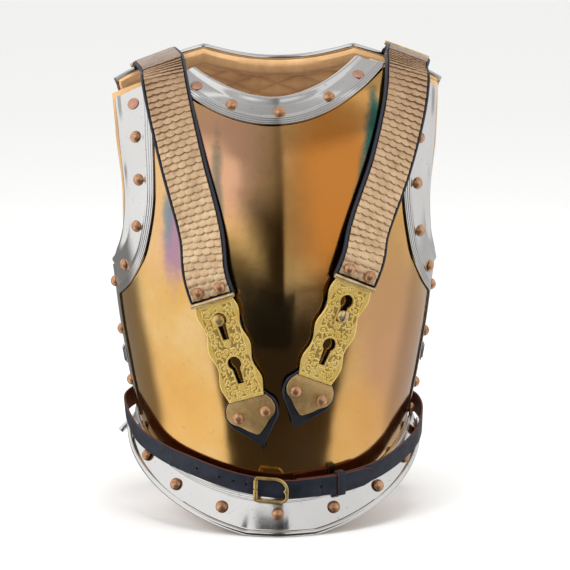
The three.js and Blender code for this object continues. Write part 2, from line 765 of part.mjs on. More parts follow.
// The straight end's leather: half width by distance down from the bar.
const LEATHER_OUTLINE = [
  { down: 0, half: STRAP_HALF },
  { down: 4, half: 19.5 },
  { down: 98, half: 18.5 },
  { down: 105, half: 22.5 },
  { down: 112, half: 27.5 },
  { down: 119, half: 28.5 },
  { down: 127, half: 26.5 },
  { down: 136, half: 18.5 },
  { down: 146, half: 9 },
  { down: 155, half: 1.2 },
];
const TIP_OUTLINE = [
  { down: 105, half: 20.5 },
  { down: 111, half: 24.5 },
  { down: 117.5, half: 25.8 },
  { down: 124, half: 23.5 },
  { down: 130, half: 15.5 },
  { down: 136, half: 9 },
  { down: CUSP, half: 0.8 },
];

// Half width of the keyhole plate: three lobes along each side.
function keyholePlateHalf(down) {
  const LOBE = 37;
  const FIRST_LOBE = 13;
  return 20.4 + 1.9 * Math.cos((2 * Math.PI * (down - FIRST_LOBE)) / LOBE);
}

function strapTrack({ side, bar, tip, chest, shoulder, back: rear, backBarY }) {
  const barSpot = onPlate(front, bar.x, bar.z, 0);
  const tipSpot = onPlate(front, tip.x, tip.z, 0);
  const up = barSpot.point.clone().sub(tipSpot.point).normalize();
  const straight = barSpot.point.distanceTo(tipSpot.point);
  const normal = barSpot.normal.clone().add(tipSpot.normal);
  normal.addScaledVector(up, -normal.dot(up)).normalize();
  const across = new THREE.Vector3().crossVectors(up, normal);
  // The straight end lies on the highest point of the breastplate under it.
  let height = 0;
  for (const down of steps(0, straight, 20)) {
    for (const w of steps(-STRAP_HALF, STRAP_HALF, 8)) {
      const p = barSpot.point.clone().addScaledVector(up, -down).addScaledVector(across, w);
      const below = onPlate(front, p.x, p.z, 0).point;
      height = Math.max(height, below.sub(p).dot(normal));
    }
  }
  const start = tipSpot.point.clone().addScaledVector(normal, height + TIP_CLEARANCE);
  const onStraight = (distance) => ({ point: start.clone().addScaledVector(up, distance), normal });
  const tilted = new THREE.Vector3(side * Math.sin(SHOULDER_TILT), 0, Math.cos(SHOULDER_TILT));
  const stations = [
    ...steps(0, straight + STRAIGHT_RUN, 4).map(onStraight),
    ...chest.map(({ x, z, lift }) => onPlate(front, x, z, lift)),
    ...shoulder.map(({ x, y, z }) => ({ point: new THREE.Vector3(x, y, z), normal: tilted })),
    ...rear.map(({ x, z, lift }) => onPlate(back, x, z, lift)),
  ];
  const line = track(stations);
  let backBar = straight;
  while (line.at(backBar).origin.y < backBarY) backBar += 1;
  return { ...line, straight, backBar };
}

// The keyholes as a cutter that passes through the plate and the leather.
function keyholeCutter(line, centre) {
  const ROUND_SIDES = 8;
  const shape = new THREE.Shape();
  const slotTop = Math.sqrt(KEYHOLE_RADIUS ** 2 - SLOT_HALF ** 2);
  const startAngle = Math.atan2(-slotTop, SLOT_HALF);
  shape.moveTo(SLOT_HALF, -SLOT_LENGTH);
  for (const turn of steps(startAngle, Math.PI - startAngle, ROUND_SIDES)) {
    shape.lineTo(KEYHOLE_RADIUS * Math.cos(turn), KEYHOLE_RADIUS * Math.sin(turn));
  }
  shape.lineTo(-SLOT_HALF, -SLOT_LENGTH);
  const DEPTH = 20;
  const geometry = new THREE.ExtrudeGeometry(shape, { depth: DEPTH, bevelEnabled: false });
  const frame = line.at(line.straight - centre);
  const basis = new THREE.Matrix4().makeBasis(frame.across, frame.ahead, frame.normal);
  basis.setPosition(frame.origin.clone().addScaledVector(frame.normal, -DEPTH / 2));
  return geometry.applyMatrix4(basis);
}

// Where the rings of a strap's upper pieces lie, so that pieces on each other bend alike.
const BAR_ROOM = 4;             // the raised edges stop this short of a bar
const RING_STEP = 3 * SCALE_PITCH;
const END_RING_STEP = 9;
function strapRings(line) {
  const { backBar } = line;
  const first = line.straight + STRAIGHT_RUN;
  const toBar = Math.round((backBar - BAR_ROOM - first) / RING_STEP);
  const toEnd = Math.round((line.length - backBar) / END_RING_STEP);
  return [...steps(first, backBar - BAR_ROOM, toBar), ...steps(backBar - BAR_ROOM + 1, line.length, toEnd)];
}

// The leather has raised edges above the bar, like a channel.
function strapLeather(line) {
  const EDGE_HEIGHT = 4.4;
  const LOW_EDGE = LEATHER + 0.05;
  const channel = (half, edge) => [
    [-half, 0], [half, 0], [half, edge], [half * (1 - PIPING / STRAP_HALF), edge],
    [half * (1 - PIPING / STRAP_HALF), LEATHER], [-half * (1 - PIPING / STRAP_HALF), LEATHER],
    [-half * (1 - PIPING / STRAP_HALF), edge], [-half, edge],
  ];
  const lower = [...LEATHER_OUTLINE].reverse().map(({ down, half }) => (
    { at: line.straight - down, section: channel(half, LOW_EDGE) }
  ));
  const upper = [
    { at: line.straight + BAR_ROOM - 1, section: channel(STRAP_HALF, LOW_EDGE) },
    { at: line.straight + BAR_ROOM, section: channel(STRAP_HALF, EDGE_HEIGHT) },
    ...strapRings(line).map((at) => (
      { at, section: channel(STRAP_HALF, at < line.backBar - BAR_ROOM + 1 ? EDGE_HEIGHT : LOW_EDGE) }
    )),
  ];
  return cut(sweep(line, [...lower, ...upper]), ...KEYHOLES.map((down) => keyholeCutter(line, down)));
}

// Rows of scales: each lower edge stands proud of the row below. A step stands for two rows.
const SCALE_HALF = STRAP_HALF - PIPING - 0.5;
const SCALE_LOW = LEATHER + 0.9;
function strapScales(line) {
  const THIN = 1.1;
  const PROUD = 2.6;
  const from = line.straight + 3.5;
  const count = Math.floor((line.backBar - 8 - from) / (2 * SCALE_PITCH));
  const rows = [];
  for (const at of steps(from, from + count * 2 * SCALE_PITCH, count)) {
    if (at > from) rows.push({ at: at - 0.4, section: slab(SCALE_HALF, SCALE_LOW, SCALE_LOW + THIN) });
    rows.push({ at, section: slab(SCALE_HALF, SCALE_LOW, SCALE_LOW + PROUD) });
  }
  return sweep(line, rows);
}

// A round bar across a strap.
function crossBar(line, at, height, half) {
  const BAR_SIDES = 8;
  const BAR_RADIUS = 2.4;
  const frame = line.at(at);
  const geometry = new THREE.CylinderGeometry(BAR_RADIUS, BAR_RADIUS, 2 * half, BAR_SIDES);
  const basis = new THREE.Matrix4().makeBasis(frame.ahead, frame.across, frame.normal.clone().negate());
  basis.setPosition(onFrame(frame, 0, height));
  return geometry.applyMatrix4(basis);
}

const PLATE_LOW = LEATHER + 0.7;
function keyholePlate(line) {
  const rows = steps(0.5, PLATE_END, 14).reverse().map((down) => (
    { at: line.straight - down, section: slab(keyholePlateHalf(down), PLATE_LOW, PLATE_LOW + METAL) }
  ));
  const cutters = KEYHOLES.map((down) => keyholeCutter(line, down));
  const BAR_HEIGHT = PLATE_LOW + 2.35;
  return joined(cut(sweep(line, rows), ...cutters), crossBar(line, line.straight, BAR_HEIGHT, STRAP_HALF));
}

function tipPlate(line) {
  return sweep(line, [...TIP_OUTLINE].reverse().map(({ down, half }) => (
    { at: line.straight - down, section: slab(half, PLATE_LOW, PLATE_LOW + METAL) }
  )));
}

// The plate that fastens a strap to the backplate, from its bar to its end, with two rivets.
function backEndPlate(line) {
  const { backBar } = line;
  const RIVET_INSET = 14;
  const low = LEATHER + 3;    // the strap twists as it bends, so the plate keeps more room
  const top = low + METAL;
  const rows = strapRings(line).filter((at) => at > backBar - BAR_ROOM).map((at) => (
    { at, section: slab(SCALE_HALF - 0.4, low, top) }
  ));
  const frame = line.at(line.length - RIVET_INSET);
  const rivets = [-1, 1].map((sign) => stood(dome(SMALL_RIVET_RADIUS, SMALL_RIVET_HEIGHT),
    onFrame(frame, sign * SCALE_RIVET_HALF, top - 0.4), frame.normal));
  return joined(sweep(line, rows), crossBar(line, backBar, low + 1.4, STRAP_HALF + 1.5), ...rivets);
}

// A mushroom-headed stud from the breastplate through a keyhole, this far down from the bar.
function stud(line, down, headAt) {
  const { origin, normal } = line.at(line.straight - down);
  let drop = 0;
  const foot = () => origin.clone().addScaledVector(normal, -drop);
  for (let i = 0; i < 6; i += 1) {
    const at = foot();
    drop += at.sub(onPlate(front, at.x, at.z, 1).point).dot(normal);
  }
  const point = foot();
  const SHANK = 2.4;
  const HEAD = 6.4;
  const profile = [[0, 0], [SHANK, 0], [SHANK, headAt], [HEAD, headAt], [HEAD * 0.9, headAt + 2.4],
    [HEAD * 0.5, headAt + 4.2], [0, headAt + 4.8]];
  const geometry = new THREE.LatheGeometry(profile.map(([r, h]) => new THREE.Vector2(r, h)), 10);
  return stood(geometry.rotateX(Math.PI / 2), point, normal);
}

// ---- Belt ---------------------------------------------------------------------------------------

// The belt's centre line: the angle round the plate, the height and the lift off the plate.
const BELT_LEFT_BACK = [{ angle: -70, z: 112, lift: 1 }, { angle: -80, z: 111, lift: 6 }];
const BELT_LEFT = [
  { angle: -88, z: 107, lift: 11 },
  { angle: -78, z: 98, lift: 12.5 },
  { angle: -66, z: 85, lift: 11.5 },
  { angle: -50, z: 73, lift: 7 },
  { angle: -36, z: 65, lift: 5.2 },
  { angle: -22, z: 56.5, lift: 5.2 },
  { angle: -10, z: 51, lift: 5.4 },
];
const BELT_MIDDLE = [
  { angle: 2, z: 48.5, lift: 7.5 },
  { angle: 12, z: 49.5, lift: 9.6 },
  { angle: 24, z: 51.5, lift: 11 },
  { angle: 38, z: 56, lift: 12.4 },
];
const BELT_RIGHT_BACK = [{ angle: 70, z: 106, lift: 1 }, { angle: 80, z: 105, lift: 4 }];
const BELT_RIGHT = [
  { angle: 88, z: 102, lift: 8 },
  { angle: 78, z: 95, lift: 14 },
  { angle: 66, z: 82.5, lift: 16.5 },
  { angle: 54, z: 69.5, lift: 13 },
  { angle: 40, z: 58, lift: 9.6 },
  { angle: 24, z: 51.5, lift: 8 },
  { angle: 12, z: 49.5, lift: 6.6 },
  { angle: 6, z: 48.5, lift: 5 },
];

const beltStations = (surface, rows) => rows.map(({ angle, z, lift }) => ({
  point: surface.at(degToRad(angle), z, lift), normal: surface.frame(degToRad(angle), z).normal,
}));

// A belt half: a strap of even width, whose last stretch may taper to a tip.
function beltHalf(line, taper) {
  const BELT_STEPS = 22;
  const rows = steps(0, line.length, BELT_STEPS).map((at) => {
    const left = (line.length - at) / taper.length;
    const half = (BELT_WIDTH / 2) * (left < 1 ? lerp(taper.end, 1, Math.sqrt(left)) : 1);
    return { at, section: slab(half, 0, BELT) };
  });
  return sweep(line, rows);
}

// The buckle's D-shaped frame, its straight bar on the left, and the hidden bar behind it.
const BUCKLE = { angle: -3.8, z: 48.2, width: 35, height: 28, wire: 3.2, lift: 10.4 };
function buckle(line) {
  const { width, height, wire } = BUCKLE;
  const outlineOf = (inset) => {
    const shape = new THREE.Shape();
    const [w, h] = [width / 2 - inset, height / 2 - inset];
    const corner = h * 0.72;
    shape.moveTo(-w, -h);
    shape.lineTo(w - corner, -h);
    shape.absellipse(w - corner, -h + corner, corner, corner, -Math.PI / 2, 0, false, 0);
    shape.absellipse(w - corner, h - corner, corner, corner, 0, Math.PI / 2, false, 0);
    shape.lineTo(-w, h);
    shape.closePath();
    return shape;
  };
  const frame = outlineOf(0);
  frame.holes.push(outlineOf(wire));
  const geometry = new THREE.ExtrudeGeometry(frame, { depth: wire, bevelEnabled: false, curveSegments: 4 });
  return geometry.applyMatrix4(line);
}

// A loop of leather round both layers of the belt.
function keeper(line, at) {
  const frame = line.at(at);
  const LENGTH = 8;
  const [half, low, high, wall] = [BELT_WIDTH / 2 + 0.8, -4, BELT + 0.6, 1.2];
  const shape = new THREE.Shape([
    new THREE.Vector2(-half - wall, low - wall), new THREE.Vector2(half + wall, low - wall),
    new THREE.Vector2(half + wall, high + wall), new THREE.Vector2(-half - wall, high + wall),
  ]);
  shape.holes.push(new THREE.Path([
    new THREE.Vector2(-half, low), new THREE.Vector2(half, low),
    new THREE.Vector2(half, high), new THREE.Vector2(-half, high),
  ]));
  const geometry = new THREE.ExtrudeGeometry(shape, { depth: LENGTH, bevelEnabled: false });
  const basis = new THREE.Matrix4().makeBasis(frame.across, frame.normal, frame.ahead.clone().negate());
  basis.setPosition(frame.origin);
  return geometry.applyMatrix4(basis);
}

// A small slotted catch plate on a side strip.
function sideHook(side) {
  const shape = new THREE.Shape([
    new THREE.Vector2(-5, -9), new THREE.Vector2(5, -9), new THREE.Vector2(5, 9), new THREE.Vector2(-5, 9),
  ]);
  shape.holes.push(new THREE.Path([
    new THREE.Vector2(-2, -5), new THREE.Vector2(2, -5), new THREE.Vector2(2, 5), new THREE.Vector2(-2, 5),
  ]));
  const THICK = 2.4;
  const HEIGHT = 161;
  const geometry = new THREE.ExtrudeGeometry(shape, { depth: THICK, bevelEnabled: false });
  const angle = side * degToRad(84);
  const { along, normal } = front.frame(angle, HEIGHT);
  const acrossIt = along.clone().normalize();
  const upIt = new THREE.Vector3().crossVectors(normal, acrossIt);
  const basis = new THREE.Matrix4().makeBasis(acrossIt, upIt, normal);
  basis.setPosition(front.at(angle, HEIGHT, STRIP_GAP + STRIP + 0.6));
  return geometry.applyMatrix4(basis);
}

// ---- Assembly -----------------------------------------------------------------------------------

const cuirass = new THREE.Group();
const paint = (color, roughness, metalness) => new THREE.MeshStandardMaterial({ color, roughness, metalness });
const BRASS = paint(0xc98a3c, 0.22, 1);
const GILT = paint(0xd8b13c, 0.3, 1);
const STEEL = paint(0xc4c4c6, 0.2, 1);
const COPPER = paint(0xb06a3a, 0.3, 1);
const HIDE = paint(0x20232c, 0.5, 0);
const CLOTH = paint(0xb88a52, 0.9, 0);

function add(name, geometry, material) {
  const mesh = new THREE.Mesh(geometry, material);
  mesh.name = name;
  cuirass.add(mesh);
  return mesh;
}

add('breastplate', plate(front, frontOutline, FRONT_COLUMNS), BRASS);
add('backplate', plate(back, backOutline, BACK_COLUMNS), BRASS);
add('lining_front', lining(front, FRONT_EDGE, FRONT_TOP, FRONT_WAIST, 0, 79), CLOTH);
add('lining_back', lining(back, BACK_EDGE, BACK_TOP, BACK_WAIST, NECK_ROLL, 88), CLOTH);

const neckBand = frontNeck();
const armBands = { l: frontArm(-1), r: frontArm(1) };
add('front_neck_border', border(front, neckBand.rim, neckBand.inner), STEEL);
for (const [side, sign] of [['l', -1], ['r', 1]]) {
  add(`front_arm_border_${side}`, border(front, armBands[side].rim, armBands[side].inner), STEEL);
  add(`front_side_strip_${side}`, sideStrip(sign), STEEL);
  const arm = backArm(sign);
  add(`back_arm_border_${side}`, border(back, arm.rim, arm.inner), STEEL);
}
const top = backTop();
add('back_neck_border', border(back, top.rim, top.inner), STEEL);
add('front_flange', loft(steps(-FLANGE_ANGLE, FLANGE_ANGLE, FLANGE_STEPS).map(frontFlange.ring)), STEEL);
add('back_flange', loft(steps(-BACK_FLANGE_ANGLE, BACK_FLANGE_ANGLE, FLANGE_STEPS).map(backFlange.ring)), STEEL);


// Rivets of the front borders and flange, as shares along each border.
const NECK_RIVETS = [0.283, 0.472, 0.685];
const ARM_RIVETS = {
  l: [0.225, 0.42, 0.62, 0.845],
  r: [0.28, 0.475, 0.67, 0.88],
};
const FLANGE_RIVETS = [
  { angle: -78, down: 0.46 },
  { angle: -63, down: 0.51 },
  { angle: -44, down: 0.56 },
  { angle: -23, down: 0.52 },
  { angle: -1, down: 0.46 },
  { angle: 21, down: 0.52 },
  { angle: 42, down: 0.6 },
  { angle: 61, down: 0.58 },
  { angle: 77, down: 0.54 },
];
const RIVET_ACROSS = 0.46;
const RIVET_SEAT = BAND_TOP + 0.7;
const FLANGE_SEAT = 2.7;
function addRivet(name, { point, normal }, radius = RIVET_RADIUS, height = RIVET_HEIGHT) {
  add(name, stood(dome(radius, height), point, normal), COPPER);
}
NECK_RIVETS.forEach((t, i) => addRivet(`neck_rivet_${i + 1}`, bandSpot(front, neckBand, t, RIVET_ACROSS, RIVET_SEAT)));
for (const side of ['l', 'r']) {
  ARM_RIVETS[side].forEach((t, i) => {
    addRivet(`arm_rivet_${side}_${i + 1}`, bandSpot(front, armBands[side], t, RIVET_ACROSS, RIVET_SEAT));
  });
}
FLANGE_RIVETS.forEach(({ angle: degrees, down }, i) => {
  const angle = degToRad(degrees);
  const NEAR = 0.02;
  const across = frontFlange.sheet(angle + NEAR, down, 0).sub(frontFlange.sheet(angle - NEAR, down, 0));
  const along = frontFlange.sheet(angle, down + NEAR, 0).sub(frontFlange.sheet(angle, down - NEAR, 0));
  const normal = along.cross(across).normalize();
  const point = frontFlange.sheet(angle, down, BAND_TOP).addScaledVector(normal, FLANGE_SEAT);
  addRivet(`flange_rivet_${i + 1}`, { point, normal });
});

for (const side of ['l', 'r']) {
  const strap = STRAPS[side];
  const line = strapTrack(strap);
  add(`strap_leather_${side}`, strapLeather(line), HIDE);
  add(`strap_scales_${side}`, strapScales(line), BRASS);
  add(`keyhole_plate_${side}`, keyholePlate(line), GILT);
  add(`tip_plate_${side}`, tipPlate(line), BRASS);
  add(`strap_back_plate_${side}`, backEndPlate(line), BRASS);
  add(`strap_stud_${side}`, stud(line, strap.studDown, 10), GILT);
  const rivetRow = (name, down, half, seat) => {
    const frame = line.at(line.straight - down);
    for (const sign of [-1, 1]) {
      const spotOn = { point: onFrame(frame, sign * half, seat), normal: frame.normal };
      addRivet(`${name}_${side}_${sign < 0 ? 1 : 2}`, spotOn, SMALL_RIVET_RADIUS, SMALL_RIVET_HEIGHT);
    }
  };
  rivetRow('scale_rivet', SCALE_RIVETS, SCALE_RIVET_HALF, SCALE_LOW + 2.9);
  rivetRow('tip_rivet', TIP_RIVETS, TIP_RIVET_HALF, PLATE_LOW + METAL + 0.3);
  add(`side_hook_${side}`, sideHook(strap.side), STEEL);
}

const tailLine = track([
  ...beltStations(back, BELT_LEFT_BACK),
  ...beltStations(front, [...BELT_LEFT, ...BELT_MIDDLE]),
]);
const buckleLine = track([...beltStations(back, BELT_RIGHT_BACK), ...beltStations(front, BELT_RIGHT)]);
add('belt_tail_half', beltHalf(tailLine, { length: 12, end: 0.5 }), HIDE);
add('belt_buckle_half', beltHalf(buckleLine, { length: 1, end: 1 }), HIDE);
const buckleAngle = degToRad(BUCKLE.angle);
const buckleSpot = front.at(buckleAngle, BUCKLE.z, BUCKLE.lift);
const bucklePlane = front.frame(buckleAngle, BUCKLE.z);
const buckleAcross = bucklePlane.along.clone().normalize();
const buckleBasis = new THREE.Matrix4().makeBasis(
  buckleAcross, new THREE.Vector3().crossVectors(bucklePlane.normal, buckleAcross), bucklePlane.normal,
).setPosition(buckleSpot);
add('buckle_frame', buckle(buckleBasis), GILT);
add('belt_keeper', keeper(tailLine, tailLine.length - 40), HIDE);

// The origin is under the middle of the whole cuirass.
const box = new THREE.Box3().setFromObject(cuirass, true);
cuirass.position.set(-(box.min.x + box.max.x) / 2, -(box.min.y + box.max.y) / 2, -box.min.z);

export default cuirass;
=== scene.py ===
"""A heavy-cavalry cuirass: brass plates with riveted steel borders and flanges, a quilted lining,
two scaled shoulder straps with chased keyhole plates, and a buckled waist belt."""
import math
import random

import bpy
import numpy as np
from mathutils import Matrix, Vector


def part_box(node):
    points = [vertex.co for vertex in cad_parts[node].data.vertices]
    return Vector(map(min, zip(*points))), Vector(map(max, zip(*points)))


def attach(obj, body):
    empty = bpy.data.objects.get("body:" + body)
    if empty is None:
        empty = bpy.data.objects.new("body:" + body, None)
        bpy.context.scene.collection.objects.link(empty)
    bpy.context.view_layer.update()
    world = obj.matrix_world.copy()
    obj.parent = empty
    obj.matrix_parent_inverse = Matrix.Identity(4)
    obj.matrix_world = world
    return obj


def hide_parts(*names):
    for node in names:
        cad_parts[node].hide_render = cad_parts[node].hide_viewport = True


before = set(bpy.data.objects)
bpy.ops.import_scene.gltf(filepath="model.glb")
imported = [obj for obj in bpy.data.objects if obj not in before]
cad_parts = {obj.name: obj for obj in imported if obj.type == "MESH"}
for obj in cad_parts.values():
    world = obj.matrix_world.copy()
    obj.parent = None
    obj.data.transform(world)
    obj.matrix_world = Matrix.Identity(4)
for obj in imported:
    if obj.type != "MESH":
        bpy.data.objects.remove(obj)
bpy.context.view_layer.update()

MM = 0.001

# ---- Driving dimensions, in millimetres -----------------------------------------------------------

PLATE = 2.4                 # thickness of a plate
BORDER_WIDTH = 34.0         # arm borders
NECK_BORDER_WIDTH = 27.0
STRIP_WIDTH = 33.0          # side strips of the breastplate
TOP_RIM_WIDTH = 16.0        # the backplate's border along the shoulders
LINING = 4.5
LINING_GAP = 3.2
LINING_PROUD = 5.0          # the lining stands this far past the plates' edges
NECK_ROLL = 5.0             # extra thickness of the padded roll behind the neck
SIDE_ANGLE = math.radians(88)
FLANGE_ANGLE = math.radians(87)
BACK_FLANGE_ANGLE = math.radians(84)
ARM_FOOT = 252.0            # height of the foot of the armhole
FLANGE_LAP = 7.0
BEAD = 3.6                  # radius of a flange's rolled rim
RIVET_RADIUS = 6.3
RIVET_HEIGHT = 4.8
SMALL_RIVET_RADIUS = 5.9
SMALL_RIVET_HEIGHT = 4.1
BELT_WIDTH = 20.0
BELT = 2.0
LEATHER = 2.2               # thickness of the strap leather
STRAP_HALF = 23.5
PIPING = 3.0                # width of a strap's raised edges
SCALE_PITCH = 6.8
METAL = 1.5
QUILT_PITCH = 19.0
ACROSS_SPAN = 150           # how far a lining's half width and its height run, for its hem and roll
HEIGHT_SPAN = 410
GROOVES = 3                 # engraved lines along a border's inner edge
GROOVE_PITCH = 2.5
SHEET_GRID = (181, 211)     # columns and rows of plates and linings

# Height, half width, depth and squareness of each plate's section.
FRONT_SECTIONS = [
    (20, 139, 143, 2.0), (50, 140, 147, 2.0), (95, 142, 156, 2.05), (150, 151, 164, 2.1),
    (200, 159, 167, 2.15), (250, 165, 165, 2.2), (300, 172, 160, 2.35), (350, 180, 149, 2.5),
    (400, 187, 128, 2.6), (433, 188, 103, 2.6), (452, 187, 78, 2.6), (470, 186, 46, 2.6),
    (485, 184, 18, 2.6),
]
BACK_SECTIONS = [
    (20, 133, 104, 2.1), (50, 135, 104, 2.1), (95, 137, 106, 2.1), (150, 146, 111, 2.15),
    (200, 154, 119, 2.2), (250, 160, 127, 2.25), (300, 172, 132, 2.35), (350, 186, 132, 2.5),
    (400, 196, 122, 2.6), (440, 200, 100, 2.6), (462, 200, 80, 2.6), (480, 198, 58, 2.6),
    (494, 196, 40, 2.6),
]
# Height and angle in degrees of each plate's edge.
FRONT_EDGE = [(20, 88), (ARM_FOOT, 88), (258, 78), (272, 67.5), (300, 57), (345, 51), (395, 49.5),
              (437, 51), (480, 53)]
BACK_EDGE = [(20, 94), (ARM_FOOT, 94), (257, 82), (270, 68), (300, 57), (345, 51), (395, 50),
             (440, 53), (480, 55)]
FRONT_TOP = dict(neck=429.5, corner=463, shoulder=437, share=0.5, lean=5)
BACK_TOP = dict(neck=458, corner=472, shoulder=436, share=0.41, lean=0)
FRONT_WAIST = dict(middle=40, rise=66, power=1.0, level=0)
BACK_WAIST = dict(middle=52, rise=50, power=1.0, level=0)
FRONT_RIM = dict(middle=0, rise=88, power=0.8, level=4)
BACK_RIM = dict(middle=0, rise=84, power=1.1, level=4)
FRONT_FLARE = (19, 8)       # how far a rim stands out: at the middle and at the side
BACK_FLARE = (20, 14)
FLARE_POWER = 1.25
RIDGE = dict(height=9, rounding=0.03, spread=0.42)
BACK_LEAN = 9


# ---- The plates' surfaces ---------------------------------------------------------------------------

def clamp(value, low=0.0, high=1.0):
    return np.minimum(np.maximum(value, low), high)


def smoothstep(value, start, end):
    t = clamp((value - start) / (end - start))
    return t * t * (3 - 2 * t)


def lerp(a, b, t):
    return a + (b - a) * t


def curve_of(rows, column):
    """One column of a table as a smooth curve of its first column, with no overshoot. Before the
    first row it runs on straight."""
    keys = np.array([row[0] for row in rows], float)
    values = np.array([row[column] for row in rows], float)
    rise = np.diff(values) / np.diff(keys)
    slopes = np.zeros(len(keys))
    slopes[0], slopes[-1] = rise[0], rise[-1]
    both = rise[:-1] * rise[1:]
    total = rise[:-1] + rise[1:]
    slopes[1:-1] = np.where(both > 0, 2 * both / np.where(total == 0, 1, total), 0)

    def curve(at):
        before = np.minimum(np.asarray(at, float) - keys[0], 0) * slopes[0]
        at = clamp(np.asarray(at, float), keys[0], keys[-1])
        i = np.clip(np.searchsorted(keys, at, side="right") - 1, 0, len(keys) - 2)
        span = keys[i + 1] - keys[i]
        t = (at - keys[i]) / span
        t2, t3 = t * t, t ** 3
        return (before + (2 * t3 - 3 * t2 + 1) * values[i] + (t3 - 2 * t2 + t) * span * slopes[i]
                + (3 * t2 - 2 * t3) * values[i + 1] + (t3 - t2) * span * slopes[i + 1])
    return curve


def unit(vectors):
    return vectors / np.linalg.norm(vectors, axis=-1, keepdims=True)


class PlateSurface:
    """A plate's outer surface. An angle of 0 is its middle; positive angles are on the +X side."""

    STEP = 1e-3

    def __init__(self, sections, facing, keel, lean):
        self.half_width, self.depth, self.squareness = (curve_of(sections, c) for c in (1, 2, 3))
        self.facing, self.keel, self.lean = facing, keel, lean

    def skin(self, angle, z):
        angle, z = np.broadcast_arrays(np.asarray(angle, float), np.asarray(z, float))
        n = self.squareness(z)
        s, c = np.sin(angle), np.cos(angle)
        reach = (np.abs(s) ** n + np.abs(c) ** n) ** (-1 / n)
        keel = 0.0
        if self.keel:
            away = np.hypot(angle, self.keel["rounding"])
            keel = self.keel["height"] * np.exp(-away / self.keel["spread"])
        x = self.lean * smoothstep(z, 235, 440) + self.half_width(z) * reach * s
        return np.stack([x, self.facing * (self.depth(z) * reach * c + keel), z], axis=-1)

    def frame(self, angle, z):
        h = self.STEP
        along = (self.skin(angle + h, z) - self.skin(angle - h, z)) / (2 * h)
        up = (self.skin(angle, z + h) - self.skin(angle, z - h)) / (2 * h)
        return along, up, unit(np.cross(along, up)) * -self.facing

    def normal(self, angle, z):
        return self.frame(angle, z)[2]

    def at(self, angle, z, lift=0.0):
        return self.skin(angle, z) + self.normal(angle, z) * np.asarray(lift, float)[..., None]

    def angle_at(self, x, z):
        """The angle at which the plate passes a given X at a given height."""
        low, high = math.radians(-95), math.radians(95)
        for _ in range(40):
            middle = (low + high) / 2
            if self.skin(middle, z)[0] < x:
                low = middle
            else:
                high = middle
        return (low + high) / 2


front = PlateSurface(FRONT_SECTIONS, -1, RIDGE, 0)
back = PlateSurface(BACK_SECTIONS, 1, None, BACK_LEAN)


def dip(shape):
    """Height of a waist line or rim round the body."""
    def height(angle):
        bow = shape["rise"] * (1 - np.cos(angle)) ** shape["power"] - shape["level"]
        return shape["middle"] + np.maximum(0, bow)
    return height


class Outline:
    """A plate's outline, from its share across (-1 to 1) and its share of the height (0 to 1)."""

    def __init__(self, edge_rows, top, waist, proud=0.0, side_limit=95):
        self.degrees, self.top, self.proud = curve_of(edge_rows, 1), top, proud
        self.waist_at, self.waist, self.side_limit = dip(waist), waist, side_limit

    def edge(self, z):
        return np.radians(np.minimum(self.degrees(z - self.proud), self.side_limit)) + self.proud / 400

    def top_at(self, share):
        s = np.abs(share)
        corner = self.top["share"]
        leaning = self.top["lean"] * clamp(share / corner, -1, 1)
        inside = lerp(self.top["neck"], self.top["corner"], (s / corner) ** 2)
        outside = lerp(self.top["corner"], self.top["shoulder"], (s - corner) / (1 - corner))
        return np.where(s < corner, inside, outside) + leaning + self.proud

    def place(self, share, rise):
        low = self.waist_at(share * self.edge(self.waist["middle"])) - FLANGE_LAP
        z = lerp(low, self.top_at(share), rise)
        return share * self.edge(z), z


front_outline = Outline(FRONT_EDGE, FRONT_TOP, FRONT_WAIST)
back_outline = Outline(BACK_EDGE, BACK_TOP, BACK_WAIST)


def rows_as(points, count):
    """The points of a line, spaced evenly along it."""
    reach = np.concatenate([[0], np.cumsum(np.linalg.norm(np.diff(points, axis=0), axis=1))])
    goals = np.linspace(0, reach[-1], count + 1)
    return np.interp(goals, reach, np.arange(len(points)))


def even_route(surface, angle, z, count):
    """A route over a surface, respaced evenly: its angles and heights."""
    place = rows_as(surface.skin(angle, z), count)
    every = np.arange(len(angle))
    return np.interp(place, every, angle), np.interp(place, every, z)


def walk(surface, angle, z, heading, distance, count=6):
    """Walks a distance over a surface, keeping to a heading in space."""
    course = heading.copy()
    for _ in range(count):
        along, up, normal = surface.frame(angle, z)
        course = unit(course - normal * np.sum(course * normal, -1, keepdims=True))
        aa, au, uu = (np.sum(p * q, -1) for p, q in ((along, along), (along, up), (up, up)))
        ha = np.sum(along * course, -1) * distance / count
        hu = np.sum(up * course, -1) * distance / count
        det = aa * uu - au * au
        angle = angle + (ha * uu - hu * au) / det
        z = z + (hu * aa - ha * au) / det
    return angle, z


# Where the CAD model's frame lies from the plates' own: the plates' middle is at X = 0 there.
CAD_ROWS = [0, 0.08, 0.16, 0.25, 0.35, 0.43, 0.47, 0.5, 0.55, 0.62, 0.71, 0.8, 0.87, 0.93, 1]
ridge_heights = lerp(FRONT_WAIST["middle"] - FLANGE_LAP, FRONT_TOP["neck"], np.array(CAD_ROWS))
ridge_line = front.skin(0.0, ridge_heights)
flange_low, flange_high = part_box("front_flange")
SHIFT = np.array([
    (flange_low[0] + flange_high[0]) / 2 / MM,
    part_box("breastplate")[0][1] / MM - ridge_line[:, 1].min(),
    0.0,
])


def in_place(points):
    """Points of the plates' own frame, in the frame's metres."""
    return (np.asarray(points, float) + SHIFT) * MM


def own(point):
    """A point of the frame, in the plates' own frame."""
    return np.asarray(point, float) / MM - SHIFT


# ---- Making and shaping pieces ----------------------------------------------------------------------

def deselect():
    if bpy.context.object and bpy.context.object.mode != "OBJECT":
        bpy.ops.object.mode_set(mode="OBJECT")
    bpy.ops.object.select_all(action="DESELECT")


def choose(piece):
    deselect()
    piece.select_set(True)
    bpy.context.view_layer.objects.active = piece


